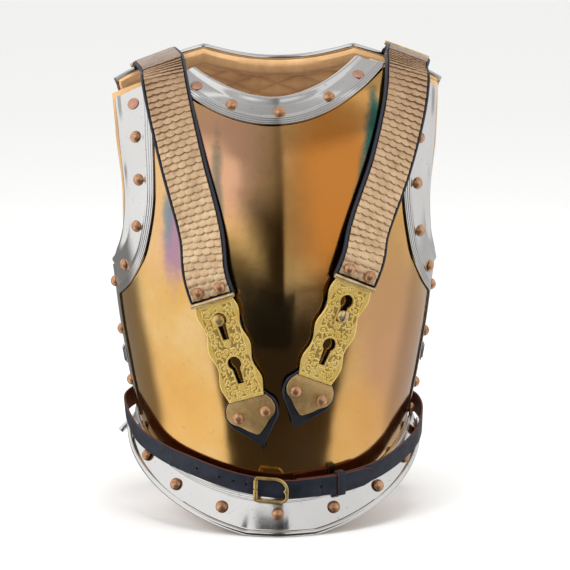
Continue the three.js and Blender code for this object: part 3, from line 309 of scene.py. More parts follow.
def edit(piece):
    choose(piece)
    bpy.ops.object.mode_set(mode="EDIT")
    bpy.ops.mesh.select_all(action="SELECT")


def done():
    bpy.ops.object.mode_set(mode="OBJECT")


def modify(piece, kind, **settings):
    """Adds a modifier with these settings and applies it."""
    choose(piece)
    modifier = piece.modifiers.new(kind.lower(), kind)
    for key, value in settings.items():
        setattr(modifier, key, value)
    bpy.ops.object.modifier_apply(modifier=modifier.name)


def points_of(piece):
    flat = np.empty(len(piece.data.vertices) * 3)
    piece.data.vertices.foreach_get("co", flat)
    return flat.reshape(-1, 3)


def set_points(piece, points):
    piece.data.vertices.foreach_set("co", np.ascontiguousarray(points, float).ravel())
    piece.data.update()


def blank(kind, name=None, **settings):
    """A new simple shape round the origin. Its settings are those of the operator that makes it."""
    deselect()
    getattr(bpy.ops.mesh, f"primitive_{kind}_add")(**settings)
    piece = bpy.context.object
    if name:
        piece.name = name
    return piece


def rounded(piece, width, segments=3, angle=50):
    """Rounds a piece's edges that are sharper than an angle."""
    modify(piece, "BEVEL", width=width * MM, segments=segments, limit_method="ANGLE",
           angle_limit=math.radians(angle))


def cut(piece, cutter):
    """Takes one piece out of another, and the cutter away."""
    modify(piece, "BOOLEAN", object=cutter, operation="DIFFERENCE", solver="EXACT")
    remove(cutter)


def laid_grid(name, points, wrap=False, notes=None):
    """A grid laid on points[row][column], in millimetres of the plates' frame. With wrap its columns
    close on themselves and its ends are capped. notes are values per point, kept as attributes."""
    rows, columns = points.shape[:2]
    piece = blank("grid", name, x_subdivisions=columns - 1, y_subdivisions=rows - 1, size=2)
    flat = points_of(piece)
    column = np.rint((flat[:, 0] + 1) / 2 * (columns - 1)).astype(int)
    row = np.rint((flat[:, 1] + 1) / 2 * (rows - 1)).astype(int)
    for key, values in (notes or {}).items():
        attribute = piece.data.attributes.new(key, "FLOAT", "POINT")
        values = np.broadcast_to(values, (rows, columns))
        attribute.data.foreach_set("value", np.ascontiguousarray(values[row, column], float))
    set_points(piece, in_place(points[row, column]))
    if wrap:
        edit(piece)
        bpy.ops.mesh.remove_doubles(threshold=1e-6)
        bpy.ops.mesh.select_all(action="DESELECT")
        bpy.ops.mesh.select_non_manifold(extend=False, use_multi_face=False, use_non_contiguous=False,
                                         use_verts=False)
        bpy.ops.mesh.fill_holes(sides=0)
        bpy.ops.mesh.select_all(action="SELECT")
        bpy.ops.mesh.normals_make_consistent(inside=False)
        done()
    return piece


def bridged(name, inner, outer, rounding, notes=None):
    """A closed sheet between two grids of points, its edges bridged and rounded."""
    piece = laid_grid(name, inner, notes=notes)
    other = laid_grid(name + "_far", outer, notes=notes)
    choose(piece)
    other.select_set(True)
    bpy.ops.object.join()
    edit(piece)
    bpy.ops.mesh.select_all(action="DESELECT")
    bpy.ops.mesh.select_mode(type="EDGE")
    bpy.ops.mesh.select_non_manifold()
    bpy.ops.mesh.bridge_edge_loops()
    bpy.ops.mesh.select_all(action="SELECT")
    bpy.ops.mesh.normals_make_consistent(inside=False)
    bpy.ops.mesh.select_mode(type="VERT")
    done()
    rounded(piece, rounding, angle=55)
    return piece


def around(section):
    """A section's points with its first point again at the end."""
    return np.concatenate([section, section[:1]])


def smooth(piece, angle=40):
    choose(piece)
    bpy.ops.object.shade_smooth_by_angle(angle=math.radians(angle))


def finished(piece, finish, slot, *nodes, angle=40):
    """Gives a piece its finish, its body and the CAD nodes that it stands for. The slot is not used."""
    smooth(piece, angle)
    piece.data.materials.clear()
    piece.data.materials.append(finish)
    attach(piece, "root")
    if nodes:
        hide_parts(*nodes)
    return piece


def copy_of(piece, name):
    twin = piece.copy()
    twin.data = piece.data.copy()
    twin.name = name
    bpy.context.collection.objects.link(twin)
    return twin


def stand(piece, point, normal, lean=None):
    """Moves a piece made round the origin, with its own +Z up, onto a point along a normal."""
    up = Vector(normal).normalized()
    matrix = up.to_track_quat("Z", "Y").to_matrix().to_4x4()
    if lean is not None:
        x_axis = Vector(lean) - up * Vector(lean).dot(up)
        x_axis.normalize()
        matrix = Matrix((x_axis, up.cross(x_axis), up)).transposed().to_4x4()
    matrix.translation = Vector(in_place(point))
    piece.data.transform(matrix)


def remove(piece):
    bpy.data.objects.remove(piece, do_unlink=True)


# ---- Finishes ---------------------------------------------------------------------------------------

def new_node(tree, kind, inputs=None, **settings):
    """A node of a tree, with its inputs linked or set. An input of None is left as it is."""
    node = tree.nodes.new("ShaderNode" + kind)
    for key, value in settings.items():
        setattr(node, key, value)
    for key, value in (inputs or {}).items():
        if isinstance(value, bpy.types.NodeSocket):
            tree.links.new(value, node.inputs[key])
        elif value is not None:
            node.inputs[key].default_value = value
    return node


class Finish:
    """A node material, with short calls for the patterns that its finish is made of."""

    def __init__(self, name, color, roughness, metallic=0.0, **more):
        self.material = bpy.data.materials.new(name)
        self.material.use_nodes = True
        self.tree = self.material.node_tree
        self.shader = self.tree.nodes["Principled BSDF"]
        self.set("Base Color", (*color, 1))
        self.set("Roughness", roughness)
        self.set("Metallic", metallic)
        for key, value in more.items():
            self.set(key, value)

    def set(self, socket, value):
        if isinstance(value, bpy.types.NodeSocket):
            self.tree.links.new(value, self.shader.inputs[socket])
        else:
            self.shader.inputs[socket].default_value = value

    def node(self, kind, inputs=None, **settings):
        return new_node(self.tree, kind, inputs, **settings)

    def place(self, centre=(0, 0, 0), scale=(1, 1, 1)):
        """The piece's own coordinates, in metres from a centre, stretched by a scale."""
        source = self.node("TexCoord").outputs["Object"]
        shift = tuple(-c * s for c, s in zip(centre, scale))
        return self.node("Mapping", {"Vector": source, "Location": shift, "Scale": scale}).outputs[0]

    def noise(self, scale, detail=4.0, rough=0.5, vector=None, distortion=0.0):
        inputs = {"Scale": scale, "Detail": detail, "Roughness": rough, "Distortion": distortion,
                  "Vector": vector if vector is not None else self.place()}
        return self.node("TexNoise", inputs).outputs[0]

    def ramp(self, value, *stops):
        """A value turned into colours or shades: stops are (place, shade or colour)."""
        node = self.node("ValToRGB", {0: value})
        elements = node.color_ramp.elements
        while len(elements) < len(stops):
            elements.new(0.5)
        for element, (place, colour) in zip(elements, stops):
            element.position = place
            element.color = (*colour, 1) if isinstance(colour, tuple) else (colour, colour, colour, 1)
        return node.outputs[0]

    def mix(self, share, first, second, blend="MIX"):
        node = self.node("Mix", data_type="RGBA", blend_type=blend)
        for index, value in ((0, share), (6, first), (7, second)):
            if isinstance(value, bpy.types.NodeSocket):
                self.tree.links.new(value, node.inputs[index])
            elif isinstance(value, tuple):
                node.inputs[index].default_value = (*value, 1)
            else:
                node.inputs[index].default_value = value
        return node.outputs[2]

    def math(self, operation, first, second=None, third=None, clamped=False):
        return self.node("Math", {0: first, 1: second, 2: third}, operation=operation,
                         use_clamp=clamped).outputs[0]

    def patch(self, centre, size, blur=0.5, ragged=0.25, grain=22.0):
        """1 inside a soft patch round a centre, 0 outside it. Sizes are half widths in metres."""
        scale = tuple(1 / s for s in size)
        away = self.node("VectorMath", {0: self.place(centre, scale)}, operation="LENGTH").outputs["Value"]
        wander = self.math("MULTIPLY_ADD", self.noise(grain, 5, 0.6), ragged * 2, -ragged)
        away = self.math("ADD", away, wander)
        limits = {"Value": away, "From Min": 1 - blur, "From Max": 1 + blur, "To Min": 1.0, "To Max": 0.0}
        return self.node("MapRange", limits, interpolation_type="SMOOTHSTEP").outputs[0]

    def bump(self, height, strength=0.3, distance=0.0005, below=None):
        inputs = {"Height": height, "Strength": strength, "Distance": distance, "Normal": below}
        node = self.node("Bump", inputs)
        self.set("Normal", node.outputs[0])
        return node.outputs[0]

    def note(self, name):
        return self.node("Attribute", attribute_name=name, attribute_type="GEOMETRY").outputs["Fac"]


def spot_at(x, z):
    """A place on the breastplate, in metres of the frame, for a patch of its finish."""
    return tuple(in_place(front.skin(front.angle_at(x, z), z)))


def brass_finish():
    """Polished brass, tarnished in rose, orange, olive and blue-green patches, and with a painted dark
    reflection down its middle.
    """
    f = Finish("polished_brass", (0.8, 0.5, 0.2), 0.17, 1.0)
    clouds = f.noise(9, 5, 0.6)
    colour = f.ramp(clouds, (0.3, (0.72, 0.4, 0.12)), (0.5, (0.82, 0.51, 0.18)), (0.72, (0.88, 0.62, 0.32)))
    # Tarnish, and the painted dark reflection down the middle: centre X and Z, half width, half height,
    # colour and depth of the patch.
    tarnish_and_painted_reflection = [
        (-52, 380, 46, 62, (0.78, 0.42, 0.3), 0.75),
        (52, 352, 52, 110, (0.66, 0.23, 0.035), 0.92),
        # Painted dark reflection, not tarnish: the dark column down the middle.
        (-6, 250, 34, 150, (0.2, 0.14, 0.06), 0.55),
        (30, 190, 40, 60, (0.4, 0.24, 0.1), 0.45),
        (118, 175, 42, 95, (0.62, 0.33, 0.2), 0.75),
        (104, 262, 34, 60, (0.56, 0.32, 0.14), 0.6),
        (-100, 110, 46, 55, (0.86, 0.46, 0.12), 0.6),
        (70, 110, 46, 40, (0.84, 0.42, 0.1), 0.6),
        (-122, 320, 16, 60, (0.9, 0.55, 0.32), 0.5),
    ]
    # Verdigris and temper colours beside the straps, in the same columns.
    beside = [
        (96, 415, 6, 26, (0.02, 0.15, 0.13), 0.95),
        (90, 386, 5.5, 26, (0.02, 0.14, 0.12), 0.95),
        (83, 356, 5, 24, (0.03, 0.15, 0.12), 0.9),
        (76, 326, 4.5, 22, (0.05, 0.17, 0.13), 0.75),
        (-105, 300, 10, 42, (0.36, 0.2, 0.42), 0.75),
        (-62, 345, 5, 45, (0.1, 0.16, 0.12), 0.7),
        (-111, 318, 5, 26, (0.1, 0.3, 0.33), 0.6),
    ]
    for table, edge in ((tarnish_and_painted_reflection, (0.55, 0.4, 16)), (beside, (0.6, 0.7, 60))):
        for x, z, wide, tall, tint, depth in table:
            share = f.patch(spot_at(x, z), (wide * MM, 0.2, tall * MM), *edge)
            colour = f.mix(f.math("MULTIPLY", share, depth), colour, tint)
    freckles = f.ramp(f.noise(170, 3, 0.6), (0.62, 0.0), (0.74, 1.0))
    colour = f.mix(f.math("MULTIPLY", freckles, 0.22), colour, (0.45, 0.22, 0.06))
    f.set("Base Color", colour)
    scuffs = f.noise(30, 6, 0.65, f.place(scale=(1, 1, 0.35)))
    f.set("Roughness", f.ramp(scuffs, (0.3, 0.09), (0.75, 0.2)))
    f.bump(f.noise(55, 3, 0.5), 0.12, 0.0005)
    return f.material


def steel_finish(name, shade):
    """Mirror-polished steel with faint wiping marks and a few grey specks."""
    f = Finish(name, (shade, shade, shade * 1.01), 0.12, 1.0)
    specks = f.ramp(f.noise(260, 2, 0.5), (0.66, 0.0), (0.76, 1.0))
    cloud = f.ramp(f.noise(12, 4, 0.6), (0.3, (shade * 0.9,) * 3), (0.7, (shade,) * 3))
    f.set("Base Color", f.mix(f.math("MULTIPLY", specks, 0.35), cloud, (0.25, 0.22, 0.2)))
    f.set("Roughness", f.ramp(f.noise(40, 6, 0.7), (0.3, 0.08), (0.8, 0.22)))
    f.bump(f.noise(30, 2, 0.5), 0.06, 0.0005)
    return f.material


def copper_finish():
    """Copper rivet heads, in blotches of dull brown and brighter copper, the brighter ones smoother."""
    f = Finish("copper", (0.66, 0.37, 0.21), 0.32, 0.88)
    blotch = f.noise(220, 4, 0.6)
    f.set("Base Color", f.ramp(blotch, (0.3, (0.42, 0.2, 0.1)), (0.55, (0.66, 0.37, 0.21)),
                               (0.8, (0.82, 0.54, 0.34))))
    f.set("Roughness", f.ramp(blotch, (0.3, 0.42), (0.75, 0.27)))
    return f.material


def hide_finish(name, colour, edge_colour_and_highlight, gloss):
    """Leather with a fine grain, creases and an edge of another colour where its note says so. On the belt
    that is the edge's own colour; on the straps it is a painted highlight.
    """
    f = Finish(name, colour, gloss, 0.0, **{"Specular IOR Level": 0.3})
    grain = f.node("TexVoronoi", {"Vector": f.place(), "Scale": 900.0}).outputs["Distance"]
    dull, bright = (tuple(c * times for c in colour) for times in (0.65, 1.7))
    shade = f.ramp(f.noise(60, 5, 0.6), (0.3, dull), (0.75, bright))
    edge = f.ramp(f.note("edge"), (0.45, 0.0), (0.8, 1.0))
    f.set("Base Color", f.mix(edge, shade, edge_colour_and_highlight))
    f.set("Roughness", f.ramp(f.noise(90, 4, 0.6), (0.3, gloss * 0.75), (0.8, min(1, gloss * 1.35))))
    f.bump(f.mix(0.4, grain, f.noise(400, 3, 0.6)), 0.25, 0.0003)
    return f.material


def lining_finish():
    """Tan linen, quilted, with its weave, creases and a little soiling."""
    f = Finish("quilted_linen", (0.6, 0.41, 0.24), 0.92, 0.0, **{"Sheen Weight": 0.25})
    cloud = f.noise(28, 6, 0.65)
    base = f.ramp(cloud, (0.25, (0.42, 0.24, 0.1)), (0.55, (0.6, 0.36, 0.165)), (0.8, (0.72, 0.47, 0.25)))
    seam = f.note("seam")
    f.set("Base Color", f.mix(f.math("MULTIPLY", seam, 0.6), base, (0.3, 0.15, 0.06)))
    warp = f.node("TexWave", {"Vector": f.place(), "Scale": 420.0, "Distortion": 0.6}, bands_direction="Z")
    weft = f.node("TexWave", {"Vector": f.place(), "Scale": 420.0, "Distortion": 0.6}, bands_direction="X")
    weave = f.mix(0.5, warp.outputs[0], weft.outputs[0])
    crease = f.noise(45, 5, 0.6)
    below = f.bump(crease, 0.5, 0.003)
    f.bump(weave, 0.35, 0.0004, below)
    return f.material


def scale_finish(name, dark, mid, light):
    """Pressed brass, satin, darkened towards the shoulder."""
    f = Finish(name, mid, 0.4, 0.8)
    blotch = f.noise(70, 5, 0.65)
    colour = f.ramp(blotch, (0.28, tuple(0.75 * m for m in mid)), (0.5, mid), (0.75, light))
    low, high = in_place([0, 0, 255])[2], in_place([0, 0, 465])[2]
    height = f.node("SeparateXYZ", {0: f.place()}).outputs["Z"]
    limits = {"Value": height, "From Min": lerp(low, high, 0.35), "From Max": high}
    up = f.node("MapRange", limits).outputs[0]
    f.set("Base Color", f.mix(f.math("MULTIPLY", up, 0.62), colour, dark))
    f.set("Roughness", f.ramp(blotch, (0.3, 0.48), (0.8, 0.34)))
    f.bump(f.noise(500, 3, 0.6), 0.1, 0.0002)
    return f.material


def gilt_finish():
    """Gilt brass: bright on the raised parts and dark in the stippled ground."""
    f = Finish("gilt_brass", (0.9, 0.62, 0.18), 0.25, 0.6)
    cloud = f.ramp(f.noise(60, 4, 0.6), (0.3, (0.84, 0.56, 0.13)), (0.7, (0.96, 0.72, 0.25)))
    f.set("Base Color", f.mix(f.note("hollow"), cloud, (0.2, 0.13, 0.033)))
    f.set("Roughness", f.ramp(f.note("hollow"), (0.0, 0.24), (1.0, 0.5)))
    return f.material


def old_brass_finish(name, colour, dark):
    f = Finish(name, colour, 0.3, 0.82)
    blotch = f.noise(90, 5, 0.65)
    f.set("Base Color", f.ramp(blotch, (0.3, dark), (0.6, colour)))
    f.set("Roughness", f.ramp(f.noise(60, 4, 0.6), (0.3, 0.24), (0.8, 0.4)))
    return f.material


BRASS = brass_finish()
STEEL = steel_finish("polished_steel", 0.8)
COPPER = copper_finish()
FLAT_COPPER = old_brass_finish("flat_copper", (0.66, 0.36, 0.26), (0.4, 0.2, 0.13))
# The strap's lighter blue-grey edge colour is a painted highlight along its raised edges; the belt's
# red-brown edge is its own colour.
STRAP_HIDE = hide_finish("black_leather", (0.007, 0.008, 0.012), (0.022, 0.026, 0.04), 0.5)
BELT_HIDE = hide_finish("belt_leather", (0.011, 0.014, 0.024), (0.1, 0.032, 0.022), 0.46)
LINEN = lining_finish()
SCALES = scale_finish("scale_brass", (0.4, 0.24, 0.15), (0.76, 0.53, 0.32), (0.9, 0.7, 0.45))
GILT = gilt_finish()
TIP_BRASS = old_brass_finish("tip_brass", (0.82, 0.55, 0.24), (0.58, 0.37, 0.15))
CREST_BRASS = old_brass_finish("crest_brass", (0.34, 0.2, 0.12), (0.17, 0.1, 0.06))
BAR_BRASS = old_brass_finish("bar_brass", (0.8, 0.62, 0.36), (0.55, 0.38, 0.18))
BUCKLE_BRASS = old_brass_finish("buckle_brass", (0.72, 0.52, 0.2), (0.4, 0.27, 0.1))


# ---- Plates and linings -----------------------------------------------------------------------------

def plate_grid(surface, outline, lift):
    """Points of a plate, with the angle and height of each."""
    columns, rows = SHEET_GRID
    share = np.linspace(-1, 1, columns)[None, :]
    rise = np.linspace(0, 1, rows)[:, None]
    angle, z = outline.place(share, rise)
    angle, z = np.broadcast_arrays(angle, z)
    return surface.at(angle, z, lift), angle, z


def dents(angle, z, seed, depth):
    """Very shallow waves over a sheet, as hammering leaves."""
    draw = random.Random(seed)
    total = np.zeros(np.broadcast(angle, z).shape)
    for _ in range(14):
        waves = draw.uniform(1.2, 4.5)
        tall = draw.uniform(0.008, 0.026)
        total += np.sin(waves * angle + draw.uniform(0, 6.3)) * np.sin(tall * z + draw.uniform(0, 6.3))
    return depth * total / 6


def make_plate(name, surface, outline, node, seed):
    points, angle, z = plate_grid(surface, outline, 0.0)
    points = points + surface.normal(angle, z) * dents(angle, z, seed, 0.22)[..., None]
    piece = laid_grid(name, points)
    face_outward(piece, surface)
    modify(piece, "SOLIDIFY", thickness=PLATE * MM, offset=-1.0, use_even_offset=True)
    return finished(piece, BRASS, "brass_plate", node)


def face_outward(piece, surface):
    """Turns an open sheet's faces away from the body."""
    mesh = piece.data
    face = mesh.polygons[len(mesh.polygons) // 2]
    centre = own(face.center)
    out = surface.normal(surface.angle_at(centre[0], centre[2]), centre[2])
    if Vector(out).dot(face.normal) < 0:
        edit(piece)
        bpy.ops.mesh.flip_normals()
        done()


def quilting(angle, z, spacing):
    """The quilting seams of the lining, 1 on a seam: diamonds whose sides lean."""
    run = angle * 150
    lean = 0.55
    seams = []
    for way in (1, -1):
        phase = (z + way * lean * run) / spacing
        seams.append(np.abs(phase - np.rint(phase)) * spacing)
    near = np.minimum(*seams)
    return 1 - smoothstep(near, 0.0, spacing * 0.16), smoothstep(near, 0.0, spacing * 0.5)


def make_lining(name, surface, edge_rows, top, waist, roll, side_limit, node, seed):
    """A padded lining, quilted in diamonds, with a bound edge and a roll behind the neck."""
    outline = Outline(edge_rows, top, waist, LINING_PROUD, side_limit)
    columns, rows = SHEET_GRID
    share = np.linspace(-1, 1, columns)[None, :]
    rise = np.linspace(0, 1, rows)[:, None]
    angle, z = np.broadcast_arrays(*outline.place(share, rise))
    outside = -(PLATE + LINING_GAP)
    # The roll behind the neck is round, with a crease under it.
    below = (1 - rise) * HEIGHT_SPAN
    swell = (roll * np.sqrt(np.clip(1 - ((below - 8) / 8.5) ** 2, 0, 1))
             - 1.6 * np.exp(-((below - 17.5) / 1.6) ** 2))
    swell = (swell if roll else 0 * below) * smoothstep(-np.abs(share), -0.75, -0.5)
    seam, puff = quilting(angle, z, QUILT_PITCH)
    from_edge = np.minimum((1 - np.abs(share)) * ACROSS_SPAN, (1 - rise) * HEIGHT_SPAN)
    hem = smoothstep(from_edge, 8.0, 11.0)
    seam = np.maximum(seam * hem, 1 - smoothstep(np.abs(from_edge - 9.0), 0.5, 1.8))
    wrinkle = dents(angle * 6, z * 5, seed, 0.5)
    depth = outside - LINING - swell + 2.3 * (1 - puff) ** 1.5 * hem + wrinkle * hem
    inner = surface.at(angle, z, np.minimum(depth, outside - 1.6))
    outer = surface.at(angle, z, outside)
    piece = bridged(name, inner, outer, 1.3, {"seam": seam})
    finished(piece, LINEN, "quilted_lining", node, angle=70)
    return piece


make_plate("brass_breastplate", front, front_outline, "breastplate", 3)
make_plate("brass_backplate", back, back_outline, "backplate", 5)
# The front lining stands well past the armholes' rims.
FRONT_LINING_EDGE = [(z, angle + 6.5 * smoothstep(z, 258, 300)) for z, angle in FRONT_EDGE]
make_lining("quilted_front_lining", front, FRONT_LINING_EDGE, FRONT_TOP, FRONT_WAIST, 0, 79,
            "lining_front", 11)
make_lining("quilted_back_lining", back, BACK_EDGE, BACK_TOP, BACK_WAIST, NECK_ROLL, 88, "lining_back", 12)


# ---- Steel borders ----------------------------------------------------------------------------------

def groove(start, depth=0.75, wide=1.0):
    """An engraved line across a raised band: distance from the rim and lift of its points."""
    floor = 2.7 - depth
    return [(start, 2.7), (start + 0.2, floor), (start + wide - 0.2, floor), (start + wide, 2.7)]


def border_section(width):
    """Section of a border: distance from the rim and lift off the plate. Its rim is rolled over the
    plate's edge, and raised lines run along its inner edge."""
    roll = [(-2.6 + 3.45 * math.cos(a), 0.5 + 3.45 * math.sin(a))
            for a in np.radians(np.linspace(290, 62, 15))]
    inner = [(width - 0.1, 0.9), (width, 1.9), (width - 0.4, 2.6), (width - 1.1, 2.7)]
    for i in range(GROOVES):
        inner += reversed(groove(width - 2.3 - GROOVE_PITCH * i))
    inner_end = width - GROOVE_PITCH * GROOVES - 1.4
    band = [(inner_end, 2.7), (inner_end - 0.9, 2.1)]
    band += [(d, 2.1) for d in np.linspace(inner_end - 3, 5.0, 6)]
    band += [(3.9, 2.0), (2.6, 2.15), (1.2, 2.55)]
    under = [(-1.85, 0.7), (width * 0.33, 0.8), (width * 0.66, 0.8)]
    return np.array(roll[::-1] + under + inner + band)


def lay_border(name, surface, rim, inner, widths, node):
    """A border along a route: rim and inner edge are the angles and heights of its two sides."""
    (rim_angle, rim_z), (inner_angle, inner_z) = rim, inner
    rings = []
    for i, width in enumerate(widths):
        section = around(border_section(width))
        across = section[:, 0] / width
        angle = lerp(rim_angle[i], inner_angle[i], across)
        z = lerp(rim_z[i], inner_z[i], across)
        rings.append(surface.at(angle, z, section[:, 1]))
    piece = laid_grid(name, np.array(rings), wrap=True)
    return finished(piece, STEEL, "polished_steel", node, angle=35)


def inner_edge(surface, rim, widths, inward, start=None, end=None):
    """The inner edge of a border: a walk inward from each place of its rim, square to it."""
    angle, z = rim
    points = surface.skin(angle, z)
    before = np.concatenate([points[:1], points[:-1]])
    after = np.concatenate([points[1:], points[-1:]])
    square = unit(np.cross(after - before, surface.normal(angle, z)) * inward)
    share = np.linspace(0, 1, len(angle))
    if start is not None:
        t = (1 - smoothstep(share, 0, 0.2))[:, None]
        square = lerp(square, start, t)
    if end is not None:
        t = smoothstep(share, 0.8, 1)[:, None]
        square = lerp(square, end, t)
    return walk(surface, angle, z, unit(square), widths)


def shoulder_heading(surface, outline, side):
    """The direction in which a plate's shoulder line falls away from the neck."""
    def place(share):
        z = outline.top_at(side * share)
        return surface.skin(side * share * outline.edge(z), z)
    return unit(place(1.0) - place(outline.top["share"] + 0.1))


def front_neck(count):
    share = np.linspace(-FRONT_TOP["share"], FRONT_TOP["share"], 120)
    z = front_outline.top_at(share)
    rim = even_route(front, share * front_outline.edge(z), z, count)
    widths = np.full(count + 1, NECK_BORDER_WIDTH)
    inner = inner_edge(front, rim, widths, 1, shoulder_heading(front, front_outline, -1),
                       shoulder_heading(front, front_outline, 1))
    return rim, inner, widths


def strip_edge(z):
    """The inner edge of a side strip, at a height."""
    return SIDE_ANGLE - STRIP_WIDTH / np.linalg.norm(front.frame(math.radians(80), z)[0], axis=-1)


def strip_top():
    low, high = ARM_FOOT, ARM_FOOT + 40
    for _ in range(30):
        middle = (low + high) / 2
        if front_outline.edge(middle) > strip_edge(middle):
            low = middle
        else:
            high = middle
    return (low + high) / 2


def front_arm(side, count):
    seam = 0.004
    foot = strip_top() + 1
    z = np.linspace(front_outline.top_at(side), foot, 240)
    rim = even_route(front, side * front_outline.edge(z), z, count)
    widths = np.full(count + 1, BORDER_WIDTH)
    inner = inner_edge(front, rim, widths, side, -shoulder_heading(front, front_outline, side),
                       np.array([0, 0, -1.0]))
    low = foot - BORDER_WIDTH
    end_rim = side * (strip_edge(foot) - seam)
    end_inner = side * (strip_edge(low) - seam)
    # The border ends on the side strip's edge: its last stretch is drawn over to it.
    ease = smoothstep(np.linspace(0, 1, count + 1), 0.86, 1.0)
    rim = (np.where(ease >= 1, end_rim, rim[0]), rim[1])
    inner = (lerp(inner[0], end_inner, ease), lerp(inner[1], low, ease))
    return rim, inner, widths


def back_top(count):
    share = np.linspace(-1, 1, 180)
    z = back_outline.top_at(share)
    rim = even_route(back, share * back_outline.edge(z), z, count)
    t = np.linspace(0, 1, count + 1)
    widths = lerp(TOP_RIM_WIDTH, BORDER_WIDTH, smoothstep(-np.abs(2 * t - 1), -0.62, -0.3))
    return rim, inner_edge(back, rim, widths, -1), widths


def back_arm(side, count):
    z = np.linspace(back_outline.top_at(side) - TOP_RIM_WIDTH - 3, ARM_FOOT + 3, 180)
    rim = even_route(back, side * back_outline.edge(z), z, count)
    widths = np.full(count + 1, BORDER_WIDTH * 0.8)
    inner = inner_edge(back, rim, widths, -side, -shoulder_heading(back, back_outline, side),
                       np.array([0, 0, -1.0]))
    return rim, inner, widths


SIDES = {"l": -1, "r": 1}
neck_band = front_neck(120)
arm_bands = {key: front_arm(side, 110) for key, side in SIDES.items()}
lay_border("steel_neck_border", front, *neck_band, "front_neck_border")
for key, side in SIDES.items():
    lay_border(f"steel_arm_border_{key}", front, *arm_bands[key], f"front_arm_border_{key}")
    lay_border(f"steel_back_arm_border_{key}", back, *back_arm(side, 90), f"back_arm_border_{key}")
lay_border("steel_back_neck_border", back, *back_top(150), "back_neck_border")


def side_strip(key, side):
    """A flat steel band along the breastplate's side, with its edges turned down."""
    across = np.linspace(0, 1, 25)[None, :]
    rise = np.linspace(0, 1, 61)[:, None]
    edge_angle = lerp(strip_edge(ARM_FOOT), SIDE_ANGLE, across)
    heights = np.linspace(ARM_FOOT, ARM_FOOT + 20, 81)
    reached = [heights[front_outline.edge(heights) >= a] for a in edge_angle[0]]
    high = np.array([part[-1] if len(part) else ARM_FOOT for part in reached])[None, :]
    low = front_outline.waist_at(SIDE_ANGLE) + 1 - 6 * (1 - across)
    z = lerp(low, high, rise)
    angle = side * lerp(strip_edge(z), SIDE_ANGLE, across)
    edge = np.minimum(across, 1 - across) * STRIP_WIDTH
    ridge = 0.35 * (smoothstep(edge, 1.2, 1.8) - smoothstep(edge, 3.0, 3.6))
    top = front.at(angle, z, 2.2 - 0.5 * (1 - smoothstep(edge, 0, 0.8)) - ridge)
    piece = laid_grid(f"steel_side_strip_{key}", top)
    face_outward(piece, front)
    modify(piece, "SOLIDIFY", thickness=1.5 * MM, offset=-1.0)
    return finished(piece, STEEL, "polished_steel", f"front_side_strip_{key}")


for key, side in SIDES.items():
    side_strip(key, side)


# ---- Waist flanges ----------------------------------------------------------------------------------

def flange_section():
    """Section of a flange: the share of the way down, and its lift, and for its rolled rim the
    distance out and up from the rim's centre in rim radii."""
    outside = [(0.0, 0.8), (0.0, 2.2), (0.012, 2.7)]
    for start in (0.035, 0.085, 0.135):
        outside += [(start, 2.7), (start + 0.006, 2.0), (start + 0.022, 2.0), (start + 0.028, 2.7)]
    outside += [(0.185, 2.7), (0.2, 2.1)]
    outside += [(d, 2.1) for d in np.linspace(0.25, 0.9, 12)]
    outside += [(0.93, 1.5), (0.955, 1.45)]
    bead = [(math.cos(a), math.sin(a)) for a in np.radians(np.linspace(70, -200, 16))]
    inside = [(0.9, 0.7), (0.66, 0.7), (0.33, 0.7)]
    return outside, bead, inside


def make_flange(name, surface, waist, rim, flare, end_angle, node):
    waist_at, rim_at = dip(waist), dip(rim)

    def sheet(angle, down, lift):
        reach = lerp(flare[0], flare[1], (abs(angle) / end_angle) ** 2)
        z = lerp(waist_at(angle), rim_at(angle) + BEAD, down)
        return surface.at(angle + 0 * down, z, lift + reach * down ** FLARE_POWER)

    outside, bead, inside = (np.array(part) for part in flange_section())
    rings = []
    for angle in np.linspace(-end_angle, end_angle, 181):
        outward_way = surface.normal(angle, FRONT_SECTIONS[0][0]).copy()
        outward_way[2] = 0
        outward_way = unit(outward_way)
        centre = sheet(angle, np.array([1.0]), 1.3)[0]
        centre[2] = rim_at(angle) + BEAD
        roll = centre + outward_way * bead[:, :1] * BEAD
        roll[:, 2] += bead[:, 1] * BEAD
        roll[:, 2] = np.maximum(roll[:, 2], rim_at(angle))
        rings.append(around(np.concatenate([
            sheet(angle, outside[:, 0], outside[:, 1]), roll, sheet(angle, inside[:, 0], inside[:, 1])])))
    piece = laid_grid(name, np.array(rings), wrap=True)
    finished(piece, STEEL, "polished_steel", node, angle=35)
    return sheet


front_sheet = make_flange("steel_front_flange", front, FRONT_WAIST, FRONT_RIM, FRONT_FLARE, FLANGE_ANGLE,
                          "front_flange")
make_flange("steel_back_flange", back, BACK_WAIST, BACK_RIM, BACK_FLARE, BACK_FLANGE_ANGLE, "back_flange")


# ---- Rivets -----------------------------------------------------------------------------------------

def dome(name, radius, height):
    """A rivet head round the origin: the top of a ball, cut flat, with a soft foot."""
    piece = blank("uv_sphere", name, segments=32, ring_count=18, radius=radius * MM)
    edit(piece)
    bpy.ops.mesh.bisect(plane_co=(0, 0, radius * 0.12 * MM), plane_no=(0, 0, 1), use_fill=True,
                        clear_inner=True)
    bpy.ops.mesh.select_all(action="SELECT")
    bpy.ops.transform.resize(value=(1, 1, height / (radius * 0.88)))
    bpy.ops.transform.translate(value=(0, 0, -height * 0.13 * MM))
    done()
    rounded(piece, 0.25, 2, 60)
    return piece


def rivet_frame(node, surface):
    """The middle and the normal of a rivet's place, from its own CAD node."""
    low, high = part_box(node)
    centre = own((np.array(low) + np.array(high)) / 2)
    normal = surface.normal(surface.angle_at(centre[0], centre[2]), centre[2])
    return centre, normal


def set_head(pattern, name, point, normal, *nodes, finish=None, slot="copper", angle=60):
    """A copy of a rivet, nail or disc, set on a point and given its finish: copper if none is named."""
    head = copy_of(pattern, name)
    stand(head, point, normal)
    return finished(head, finish or COPPER, slot, *nodes, angle=angle)


